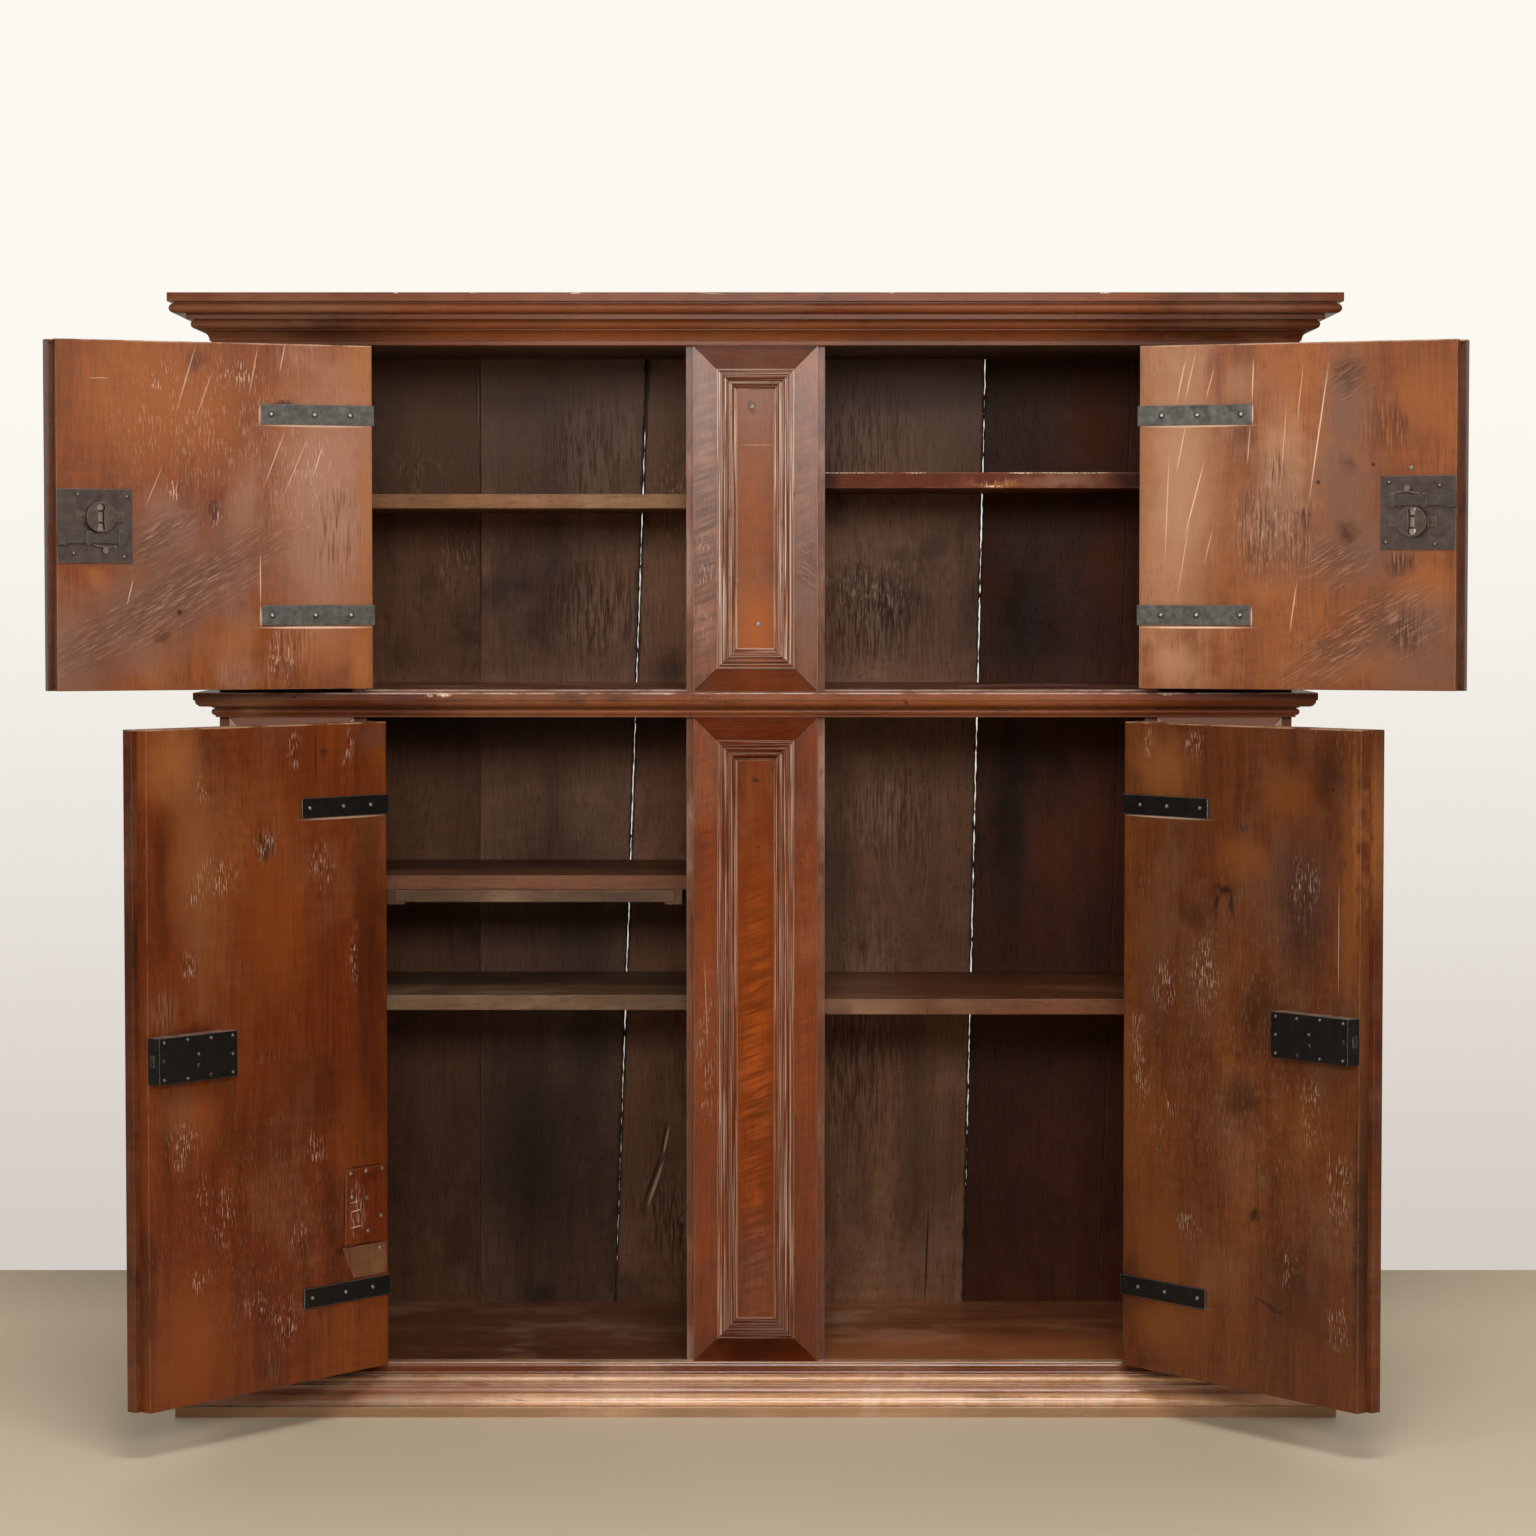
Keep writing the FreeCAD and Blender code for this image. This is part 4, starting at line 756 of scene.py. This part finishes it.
DOOR_MARKS = {
    "upper_left": {
        "warm": ((260, 1375, 110, 90, 0.7), (455, 1055, 60, 35, 0.7), (152, 1142, 18, 20, 0.9),
            (330, 1060, 50, 30, 0.5)),
        "worn": ((462, 1240, 75, 190, 0.9), (250, 1215, 50, 30, 0.6, 60), (113, 1050, 26, 60, 0.6),
            (200, 1060, 80, 25, 0.35, 60), (350, 1230, 30, 100, 0.5, 10)),
        "dark": ((286, 1433, 12, 16, 0.6), (239, 1065, 11, 8, 0.7), (406, 1382, 18, 6, 0.9)),
        "ash": ((125, 1040, 60, 70, 0.9), (230, 1110, 70, 190, 0.9, 60), (235, 1195, 50, 70, 0.9, 60),
            (200, 1040, 30, 120, 0.6, 75), (460, 1210, 50, 60, 0.3)),
        "gold": ((515, 1430, 30, 50, 0.55), (515, 1030, 20, 40, 0.6), (522, 1230, 8, 120, 0.6)),
        "scrape": ((265, 1125, 44, 180, 1, 60), (235, 1200, 30, 60, 1, 60), (150, 1060, 40, 80, 0.7, 60)),
        "torn": ((480, 1205, 36, 70, 0.7), (386, 1250, 20, 60, 0.5, 8), (420, 1050, 30, 45, 0.7),
            (404, 1042, 22, 36, 0.6), (408, 1440, 18, 30, 0.5, 10)),
        "flecks": ((440, 1290, 60, 80, 0.35), (345, 1418, 32, 22, 1), (256, 1262, 12, 22, 1), (240, 1409, 14, 18, 1),
            (300, 1350, 140, 100, 0.3), (310, 1228, 18, 16, 0.9), (404, 1040, 20, 30, 0.9)),
        "line": ((273, 1411, 0.9, 46, 0.55, 17), (297, 1388, 0.8, 34, 0.5, 20), (365, 1422, 0.9, 33, 0.55, 11),
            (405, 1440, 0.9, 18, 0.7, 11), (393, 1304, 0.8, 40, 0.6, 22), (454, 1303, 0.8, 24, 0.8, 18),
            (423, 1295, 0.7, 45, 0.5, 24), (228, 1266, 0.7, 30, 0.5, 23), (195, 1126, 0.8, 17, 0.7, 14),
            (373, 1143, 0.8, 34, 0.8), (155, 1408, 0.7, 15, 0.45, 88)),
        "hole": ((262, 1099, 3, 4, 0.9),),
    },
    "upper_right": {
        "worn": ((474, 1283, 55, 210, 0.8), (480, 1030, 40, 30, 0.7), (390, 1400, 30, 40, 0.4),
            (335, 1290, 30, 100, 0.5)),
        "warm": ((254, 1025, 100, 20, 0.7), (141, 1130, 45, 38, 0.8), (144, 1382, 45, 50, 0.6),
            (355, 1129, 40, 20, 0.7), (395, 1220, 8, 60, 0.8), (330, 1420, 50, 30, 0.4)),
        "dark": ((242, 1420, 20, 24, 0.6), (241, 1297, 14, 12, 0.6), (243, 1206, 16, 14, 0.9),
            (171, 1162, 22, 14, 0.7), (160, 1073, 35, 28, 0.4), (173, 1348, 12, 28, 0.4), (301, 1223, 12, 12, 0.6)),
        "ash": ((245, 1370, 36, 100, 0.9), (250, 1270, 48, 90, 0.85), (235, 1185, 85, 60, 0.85),
            (160, 1073, 75, 60, 0.9), (140, 1025, 80, 40, 0.7), (230, 1050, 35, 100, 0.6, 70),
            (335, 1215, 70, 80, 0.6), (345, 1220, 50, 60, 0.6)),
        "torn": ((160, 1073, 34, 28, 0.6, 60), (366, 1205, 30, 60, 0.9), (340, 1291, 16, 36, 0.9, 8),
            (312, 1192, 28, 40, 0.6), (196, 1345, 30, 45, 0.5), (300, 1224, 16, 14, 0.9), (168, 1165, 18, 14, 0.8),
            (173, 1348, 14, 30, 0.6)),
        "gold": ((520, 1300, 12, 140, 0.5),),
        "flecks": ((345, 1210, 60, 80, 0.3),),
        "scrape": ((242, 1416, 36, 36, 0.8, 80), (160, 1073, 50, 40, 0.6), (235, 1066, 34, 120, 1, 56),
            (262, 1165, 35, 60, 0.8, 70)),
        "line": ((472, 1411, 1, 28, 0.7, 12), (459, 1417, 0.9, 32, 0.6, 13), (432, 1406, 0.8, 22, 0.6, 15),
            (373, 1409, 0.9, 28, 0.8, 2), (378, 1324, 0.8, 26, 0.6, 4), (472, 1318, 0.9, 33, 0.7, 11),
            (491, 1240, 0.9, 72, 0.6, 2), (453, 1251, 1, 52, 0.8, 15), (468, 1170, 0.8, 51, 0.5, 9),
            (282, 1341, 1.1, 89, 0.8, 8), (308, 1390, 0.8, 37, 0.5, 6), (330, 1328, 0.8, 44, 0.5, 4),
            (316, 1105, 1, 34, 0.6, 8), (433, 1188, 0.8, 24, 0.5, 14)),
        "hole": ((283, 1272, 3, 3, 0.9), (209, 1295, 2.5, 2.5, 0.9)),
    },
    "lower_left": {
        "warm": ((172, 150, 70, 100, 0.8), (190, 440, 40, 60, 0.6), (320, 700, 50, 100, 0.5)),
        "gold": ((135, 905, 50, 60, 0.55), (180, 780, 60, 100, 0.25)),
        "ash": ((505, 930, 30, 20, 0.6),),
        "dark": ((120, 790, 12, 60, 0.5), (400, 450, 100, 60, 0.35), (498, 640, 30, 280, 0.5),
            (280, 400, 100, 50, 0.3), (412, 909, 8, 7, 0.8), (307, 789, 18, 16, 0.8), (160, 545, 60, 18, 0.7),
            (420, 290, 20, 60, 0.5), (100, 200, 12, 100, 0.5), (440, 240, 16, 10, 0.8), (436, 300, 10, 50, 0.5)),
        "worn": ((177, 760, 35, 160, 0.45), (150, 450, 35, 40, 0.4), (122, 582, 25, 32, 0.5)),
        "torn": ((122, 582, 24, 30, 0.8), (307, 795, 22, 26, 1), (306, 510, 18, 12, 0.7), (310, 98, 20, 18, 0.8)),
        "flecks": ((358, 915, 12, 26, 1), (457, 909, 10, 36, 1, 10), (192, 870, 15, 19, 0.8), (219, 755, 40, 28, 1),
            (177, 732, 16, 20, 1), (405, 758, 25, 29, 1), (168, 641, 12, 20, 1), (469, 630, 8, 50, 1),
            (156, 410, 28, 32, 1), (189, 330, 12, 37, 1), (226, 313, 25, 37, 1), (184, 231, 17, 22, 1),
            (281, 187, 20, 22, 1), (337, 155, 28, 34, 1), (359, 272, 26, 20, 0.8), (390, 386, 20, 20, 1),
            (300, 790, 25, 20, 1), (300, 300, 200, 200, 0.12)),
        "hole": ((398, 903, 1.1, 46, 0.9), (446.8, 292, 1.2, 53, 0.9, 1), (487, 346.4, 1.2, 40, 0.7, 90),
            (480, 240.2, 1.3, 48, 0.9, 88)),
    },
    "lower_right": {
        "warm": ((306, 778, 50, 30, 0.9), (460, 240, 50, 80, 0.6), (457, 130, 60, 40, 0.8), (118, 730, 12, 160, 0.9),
            (230, 860, 50, 40, 0.6), (190, 420, 30, 50, 0.5)),
        "gold": ((454, 890, 60, 50, 0.45), (105, 800, 6, 140, 0.5)),
        "ash": ((200, 730, 60, 100, 0.5), (120, 560, 20, 60, 0.5)),
        "worn": ((380, 620, 50, 100, 0.35), (470, 650, 30, 120, 0.3), (160, 520, 30, 60, 0.35)),
        "dark": ((197, 705, 50, 100, 0.7), (154, 900, 28, 50, 0.7), (281, 572, 55, 60, 0.6), (393, 693, 27, 20, 0.4),
            (300, 454, 40, 35, 0.7), (208, 212, 60, 60, 0.45), (95, 300, 12, 200, 0.85), (342, 731, 18, 8, 1),
            (355, 711, 6, 16, 1), (329, 713, 6, 16, 1), (281, 303, 11, 9, 0.9), (245, 188, 45, 4, 0.9),
            (307, 819, 12, 10, 0.7), (311, 515, 10, 8, 0.5)),
        "torn": ((200, 720, 40, 50, 0.5), (307, 819, 12, 10, 0.7, 40)),
        "flecks": ((484, 927, 9, 22, 1), (396, 920, 18, 20, 0.8), (450, 597, 27, 34, 1), (374, 620, 30, 55, 1),
            (504, 520, 16, 40, 1), (194, 743, 25, 41, 1), (497, 460, 16, 40, 1), (438, 440, 12, 20, 1),
            (464, 393, 12, 26, 1), (405, 278, 26, 20, 1), (182, 451, 18, 46, 1), (132, 355, 22, 50, 1),
            (217, 239, 17, 19, 1), (133, 180, 18, 35, 1), (300, 500, 200, 300, 0.15)),
        "line": ((134, 678, 0.8, 75, 0.7),),
        "hole": ((145, 872, 2, 2, 0.9),),
    },
}
FRONT_MARKS = {"lower_right": {"gold": ((92, 820, 12, 120, 0.6),)}}


def bare_keyhole(side, level, crest):
    """Extra step for an upper door: after the dusty top edge, the walls of its keyhole painted near white, a painted
    glow that stands in for the bright wall seen through it.
    """
    def step(vector, colour, height):
        colour, height = crest(vector, colour, height)
        x, y, z = parts_of(vector)
        near = placed(MARK, vector, place=(side * KEY_X, 0.0, level), half_size=(0.018, THROUGH, 0.030),
                      softness=0.1)["Mask"]
        deep = (y > DOOR_BACK - 0.0335) * (y < DOOR_BACK - 0.0005)
        # Near-white keyhole walls: a painted glow for the bright wall seen through the hole.
        return mixed(near * deep, colour, (248, 238, 222)), height
    return step


def rubs_at(feet, middle, reach, end=None):
    """Pale lines, in millimetres, that the straps have rubbed under their feet and past their ends."""
    lines = tuple((middle, height - 1.2, 1.6, reach, 0.95, 90) for height in feet)
    return lines + tuple((end, height + 13.5, 1.4, 14, 0.7) for height in feet if end)


for number, (door, look) in enumerate(DOOR_TONES.items()):
    side, upper, words = side_of(door), door.startswith("upper"), door.replace("_", " ")
    if upper:
        middle, half_height, front_body = 1.227, 0.2315, (84, 46, 30)
        rubs = rubs_at((1350.5, 1079.5), 452, 78, 373.3)
        crest = bare_keyhole(side, KEY_LEVELS[door], pale_crest(1.4585, (206, 168, 138), 0.9))
    else:
        middle, half_height, front_body = 0.5095, 0.4405, (92, 42, 20)
        rubs = rubs_at((824, 169), 449, 80)
        crest = pale_crest(0.950, (196, 156, 124), 0.9)
    marks = DOOR_MARKS[door] | {"line": DOOR_MARKS[door].get("line", ()) + rubs}
    knots = (((-0.310, DOOR_BACK, 1.235), 0.0095, 0.55),) if door == "upper_left" else ()
    finish(door + "_door_board", timber(words + " door board", seed=90.0 + 4 * number, door=door, knots=knots,
                                        extra=crest, marks=marks, bump=0.45, **look))
    finish(door + "_door_front", timber(
        words + " door front", front_body, (50, 27, 19), (112, 62, 36), (118, 82, 64), seed=110.0 + 4 * number,
        door=door, mitre=((side * 0.309, 0.0, middle), (0.2205, 0.0, half_height), 0.110), worn=0.3, dark=0.8,
        torn=0.25, curl=0.25, edge=0.45, edge_colour=(156, 108, 80), edge_radius=0.0022, wax=0.35, gloss=0.34,
        bump=0.2, shine=0.18, extra=crest, marks=FRONT_MARKS.get(door)))

# Ironwork. Nails and rivets lie where the CAD sets them, as shares of their strap, plate or case
STRAP_NAILS = {True: ((0.4985, 0.4489, 0.3885), (1.364, 1.095)), False: ((0.4975, 0.4463, 0.3839), (0.838, 0.180))}
LOCK_LEVELS = {"upper_left": 1.213, "upper_right": 1.231, "lower_left": 0.525, "lower_right": 0.550}
STRAP_LOOKS = {True: dict(skin=(72, 70, 67), bare=(118, 114, 109), rust=(66, 54, 46), head_tone=(196, 186, 172)),
               False: dict(skin=(30, 29, 28), bare=(52, 50, 48), rust=(46, 36, 30))}
PLATE_RIVETS = ((0.28, 0.425), (0.93, 0.40), (0.22, -0.365), (0.89, -0.41))
CASE_RIVETS = ((0.06, 0.40), (0.36, 0.42), (0.66, 0.40), (0.94, 0.40), (0.94, 0.0), (0.06, -0.40), (0.36, -0.42),
               (0.94, -0.40), (0.50, 0.08))


def rivets(shares, width, height, level):
    return tuple((0.097 + width * over, level + height * up, 0.0026) for over, up in shares)


for number, door in enumerate(DOOR_TONES):
    upper, level = door.startswith("upper"), LOCK_LEVELS[door]
    across, heights = STRAP_NAILS[upper]
    parts = [("_door_straps", " straps", 3.0, dict(
        rust_share=0.45, metallic=0.6, edge=0.8, edge_radius=0.0018,
        heads=tuple((x, z, 0.0034) for x in across for z in heights), **STRAP_LOOKS[upper]))]
    if upper:
        flip = 1 if door == "upper_left" else -1
        parts += [
            ("_lock_plate", " lock plate", 11.0, dict(
                skin=(60, 47, 42), bare=(88, 73, 65), rust=(60, 42, 34), rust_share=0.7, metallic=0.5,
                edge_radius=0.0018, head_tone=(150, 132, 116), heads=rivets(PLATE_RIVETS, 0.101, flip * 0.098, level))),
            ("_key_cover", " key cover", 15.0, dict(
                skin=(62, 48, 42), bare=(104, 88, 78), rust=(78, 54, 42), rust_share=0.6, metallic=0.5, edge=0.9,
                edge_colour=(196, 176, 150))),
            ("_lock_bolt", " bolt", 17.0, dict(skin=(58, 48, 43), bare=(86, 76, 68), rust=(66, 48, 38),
                                               rust_share=0.5, metallic=0.6, edge=0.9, edge_colour=(170, 154, 134))),
            ("_lock_spring", " spring", 19.0, dict(skin=(86, 72, 62), bare=(140, 124, 106), rust=(84, 60, 46),
                                                   metallic=0.6, edge=0.9))]
    else:
        parts += [
            ("_lock_case", " lock case", 21.0, dict(
                skin=(20, 18, 17), bare=(40, 37, 35), rust=(36, 28, 23), rust_share=0.3, metallic=0.4, edge=0.6,
                edge_colour=(138, 130, 122), edge_radius=0.0018, dust=0.95, head_tone=(142, 132, 122),
                heads=rivets(CASE_RIVETS, 0.135, 0.060, level))),
            ("_lock_bolt", " bolt", 25.0, dict(skin=(52, 48, 45), bare=(96, 90, 84), rust=(64, 48, 40),
                                               metallic=0.6, edge=0.8))]
    for suffix, words, start, look in parts:
        finish(door + suffix, iron(door.replace("_", " ") + words, seed=start + number, door=door, **look))
finish("hinge_pintles", iron("hinge pintles", (48, 46, 44), (84, 82, 79), (70, 52, 42), 29.0, metallic=0.6, edge=0.8))

# Small pieces that the carcase and the doors carry
OPEN_HALF = 0.002
SHUT = 0.0021


def swung(door, points):
    """Points of the closed door turned about its hinge to where the door stands open."""
    side = side_of(door)
    turn = side * math.radians(DOOR_ANGLES[door])
    x, y = points[..., 0] - side * PIVOT_X, points[..., 1] - PIVOT_Y
    return np.stack((side * PIVOT_X + x * math.cos(turn) - y * math.sin(turn),
                     PIVOT_Y + x * math.sin(turn) + y * math.cos(turn), points[..., 2]), axis=-1)


def skin_over(name, tubes, material, body, smooth=True):
    """A mesh of closed tubes: each is rows of rings of points, with a cap on its first and last ring."""
    points, faces, start = [], [], 0
    for rings in tubes:
        rows, around = rings.shape[:2]
        index = start + np.arange(rows * around).reshape(rows, around)
        quads = np.stack((index[:-1], np.roll(index, -1, 1)[:-1], np.roll(index, -1, 1)[1:], index[1:]), axis=-1)
        faces += quads.reshape(-1, 4).tolist() + [index[0][::-1].tolist(), index[-1].tolist()]
        points.append(rings.reshape(-1, 3))
        start += rows * around
    mesh = bpy.data.meshes.new(name)
    mesh.from_pydata(np.concatenate(points).tolist(), [], faces)
    built = bmesh.new()
    built.from_mesh(mesh)
    bmesh.ops.recalc_face_normals(built, faces=built.faces)
    built.to_mesh(mesh)
    built.free()
    mesh.polygons.foreach_set("use_smooth", np.full(len(mesh.polygons), smooth))
    mesh.materials.append(material)
    made = bpy.data.objects.new(name, mesh)
    bpy.context.scene.collection.objects.link(made)
    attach(made, body)


def seam_lips(name, number, heights, shut, seed):
    """Torn edges of an open seam. Each lip stands out by e(z) = shut(z) + 0.0002 (1 + sin(310 z)) plus the
    highest of 120 splinters h max(0, 1 - |z - p| / w), and never further than the seam's middle."""
    z = np.linspace(0.003, 1.489, 1000)
    scatter = np.random.default_rng(seed)
    foot, top = SEAM_FEET[number], SEAM_TOPS[number]
    middle = foot + (top - foot) * z / TOP_FACE
    tubes = []
    for side in (-1, 1):
        place = scatter.uniform(0, 1.49, 120)[:, None]
        spread = scatter.uniform(0.003, 0.016, 120)[:, None]
        rise = scatter.uniform(0.0002, 0.0014, 120)[:, None]
        splinter = (rise * np.clip(1 - np.abs(z - place) / spread, 0, None)).max(axis=0)
        lip = np.interp(z, heights, shut) + 0.0002 * (1 + np.sin(310 * z + side)) + splinter
        edge = middle + side * OPEN_HALF
        tip, root = edge - side * np.minimum(lip, SHUT), edge + side * 0.002
        tubes.append(np.stack([np.stack((x, np.full_like(z, y), z), axis=-1) for x, y in (
            (root, 0.2548), (tip, 0.2556), (tip, 0.2568), (root, 0.2576))], axis=1))
    skin_over(name, tubes, PLANKS, "carcase", smooth=False)


def nail_heads(name, places, radius, rise, body, door=None):
    """Hammered heads: radius R cos(t) (1 + 0.06 sin(5 a + p)) and height H sin(t), with t from the rim to the
    crown, a around the head and p its place in the row. They look along -Y, or +Y on a closed door's inside."""
    climb = np.append(0.0, np.linspace(0.0, 1.5, 7))[:, None]
    turn = np.linspace(0, 2 * math.pi, 22, endpoint=False)[None, :]
    tubes = []
    for number, (x, y, z) in enumerate(places):
        reach = radius * np.cos(climb) * (1 + 0.06 * np.sin(5 * turn + number))
        high = rise * np.sin(climb) * (1 + 0.10 * np.cos(2 * turn + 3 * number)) + 0 * turn
        high[0] = -0.0005
        away = 1 if door else -1
        rings = np.stack((x + reach * np.cos(turn), y + away * high, z + reach * np.sin(turn)), axis=-1)
        tubes.append(swung(door, rings) if door else rings)
    skin_over(name, tubes, PIN_IRON, body)


def let_in_slab(name, label, outline, seed, body, light, dusty, marks):
    """A thin slab let into the inside of the lower left door: its outline, each side bowed by
    0.0004 sin(3 pi s), stands up by RISE, and its top edge is rounded over by drawing in the last rows."""
    corners = np.array(outline)
    share = np.linspace(0, 1, 14, endpoint=False)[:, None]
    rim = []
    for first, second in zip(corners, np.roll(corners, -1, 0)):
        along = (second - first) / np.linalg.norm(second - first)
        rim.append(first + (second - first) * share
                   + 0.0004 * np.sin(3 * math.pi * share) * np.array((along[1], -along[0])))
    rim = np.concatenate(rim)
    centre = rim.mean(axis=0)
    inward = (centre - rim) / np.linalg.norm(centre - rim, axis=1)[:, None]
    rows = []
    for high, draw in ((-0.001, 0.0), (RISE * 0.5, 0.0), (RISE * 0.85, 0.0003), (RISE, 0.0009)):
        ring = rim + inward * draw
        rows.append(np.stack((ring[:, 0], np.full(len(ring), DOOR_BACK + high), ring[:, 1]), axis=-1))
    wood = timber(label, body, (62, 28, 14), light, dusty, seed, door="lower_left", worn=0.4, dark=0.3, torn=0.4,
                  scratch=0.2, edge_colour=(176, 124, 84), wax=0.2, gloss=0.42, bump=0.35, shine=0.18, marks=marks)
    skin_over(name, [swung("lower_left", np.stack(rows))], wood, "lower_left_door", smooth=False)


RISE = 0.0007
# The pins' dark edge colour is a painted shadow ring round each head.
PIN_IRON = iron("old pins", (112, 96, 84), (196, 182, 164), (96, 66, 50), 33.0, rust_share=0.3, metallic=0.4,
                edge=0.6, edge_colour=(70, 54, 44))
seam_lips("left_seam_lips", 1, (0.0, 0.112, 0.120, 0.37, 0.45, 1.355, 1.372, 1.49),
          (SHUT, SHUT, 0.0015, 0.0013, 0.0009, 0.0010, SHUT, SHUT), 11)
seam_lips("right_seam_lips", 3, (0.0, 0.235, 0.242, 0.30, 0.37, 0.95, 1.49),
          (SHUT, SHUT, 0.0015, 0.0013, 0.0008, 0.0007, 0.0009), 12)
nail_heads("panel_pins", ((0.0029, -0.2105, 1.082), (-0.0050, -0.2105, 1.3790)), 0.0042, 0.0018, "carcase")
nail_heads("patch_pins", [(-x, DOOR_BACK + 0.0007, z) for x, z in (
    (0.459, 0.3395), (0.488, 0.3400), (0.519, 0.3400), (0.461, 0.307), (0.489, 0.303), (0.516, 0.276),
    (0.491, 0.258), (0.514, 0.232))], 0.0031, 0.0013, "lower_left_door", "lower_left")
nail_heads("plate_pin", ((0.1577, DOOR_BACK, 1.2902),), 0.0034, 0.0014, "upper_right_door", "upper_right")
let_in_slab("door_patch", "let-in patch", ((-0.4475, 0.2435), (-0.5275, 0.2415), (-0.5275, 0.3450), (-0.4510, 0.3450)),
            131.0, (112, 46, 16), (150, 74, 30), (142, 90, 58), {
                "torn": ((470, 290, 14, 40, 0.7),),
                "flecks": ((468, 290, 14, 40, 0.8),),
                "dark": ((500, 335, 20, 10, 0.6), (460, 338, 6, 6, 0.6)),
                "line": ((468, 288, 1, 10, 0.9, 84), (468, 266, 1, 11, 0.9, 86), (466, 300, 0.8, 10, 0.7, 86)),
                "hole": ((453.5, 300, 0.9, 40, 0.7),),
            })
let_in_slab("door_wedge", "let-in wedge", ((-0.4430, 0.2395), (-0.4640, 0.1960), (-0.5270, 0.1960), (-0.5270, 0.2385)),
            137.0, (116, 76, 50), (134, 92, 62), (136, 98, 70), {"warm": ((512, 215, 14, 20, 0.8),)})


# The stage: a plain floor, and a wall that is only there from the front
def sheet(name, label, corners, colour, roughness, shine):
    mesh = bpy.data.meshes.new(name)
    mesh.from_pydata(corners, [], [tuple(range(len(corners)))])
    made = bpy.data.objects.new(name, mesh)
    bpy.context.scene.collection.objects.link(made)
    material, tree, shader = new_material(label)
    shader.inputs["Base Color"].default_value = tone(*colour)
    shader.inputs["Roughness"].default_value = roughness
    shader.inputs["Specular IOR Level"].default_value = shine
    mesh.materials.append(material)
    return tree, shader


def stage_wall():
    """A pale wall behind the cupboard that glows to the camera, with a painted falloff darker towards the floor; seen
    from its back it is clear, and the back softbox shines through it.
    """
    tree, shader = sheet("studio_wall", "studio wall", [(-6, 0.92, 0), (6, 0.92, 0), (6, 0.92, 6), (-6, 0.92, 6)],
                         (238, 234, 228), 0.9, 0.1)
    height = parts_of(wood_vector(tree, None))[2]
    # Painted falloff: the wall's glow darkens towards the floor.
    shade = mixed(fade(height, -0.3, 1.6), (208, 200, 193), (252, 249, 242))
    glow = wire(tree, "Emission", {"Color": shade})
    rays = add(tree, "LightPath").outputs
    front = add(tree, "MixShader", {0: Wire(rays["Is Camera Ray"]), 1: Wire(shader.outputs[0]), 2: glow})
    behind = wire(tree, "NewGeometry", output="Backfacing")
    clear = add(tree, "BsdfTransparent")
    mix = add(tree, "MixShader", {0: combine("MAXIMUM", behind, Wire(rays["Is Shadow Ray"])),
                                            1: Wire(front.outputs[0]), 2: Wire(clear.outputs[0])})
    tree.links.new(mix.outputs[0], tree.nodes["Material Output"].inputs["Surface"])


sheet("studio_floor", "studio floor", [(-6, -9, 0), (6, -9, 0), (6, 6, 0), (-6, 6, 0)], (236, 220, 191), 0.42, 0.25)
stage_wall()

# Light and camera
for name, place, aim, width, height, power in (
        ("centre", (0.1, -4.9, 1.85), (0.0, 0.0, 0.8), 1.5, 0.7, 58),
        ("left", (-2.6, -4.2, 1.9), (0.0, 0.0, 0.8), 1.0, 1.2, 36),
        ("right", (2.4, -4.3, 1.9), (0.0, 0.0, 0.8), 1.0, 1.2, 30),
        ("top", (0.3, -3.0, 3.6), (0.0, 0.0, 0.3), 1.6, 0.7, 56),
        ("back", (0.0, 4.5, 3.0), (0.0, 0.2, 0.8), 3.0, 2.0, 20)):
    lamp = bpy.data.lights.new(name + " softbox", "AREA")
    lamp.shape = "RECTANGLE"
    lamp.size, lamp.size_y = width, height
    lamp.energy = power
    lamp.color = (1.0, 0.98, 0.95)
    made = bpy.data.objects.new(name + " softbox", lamp)
    made.location = place
    made.rotation_euler = (Vector(aim) - Vector(place)).to_track_quat("-Z", "Y").to_euler()
    bpy.context.scene.collection.objects.link(made)

world = bpy.data.worlds.new("studio")
bpy.context.scene.world = world
world.use_nodes = True
world.node_tree.nodes["Background"].inputs["Color"].default_value = (0.95, 0.97, 1.0, 1.0)
world.node_tree.nodes["Background"].inputs["Strength"].default_value = 0.13

camera_data = bpy.data.cameras.new("camera")
camera_data.sensor_width = 36.0
camera_data.lens = 94.47
camera = bpy.data.objects.new("camera", camera_data)
camera.matrix_world = (Matrix.Translation((0.0170, -5.7334, 1.1292))
                       @ Matrix.Rotation(math.radians(90.0) - 0.0442, 4, "X"))
bpy.context.scene.collection.objects.link(camera)
bpy.context.scene.camera = camera
bpy.context.scene.view_settings.view_transform = "Standard"
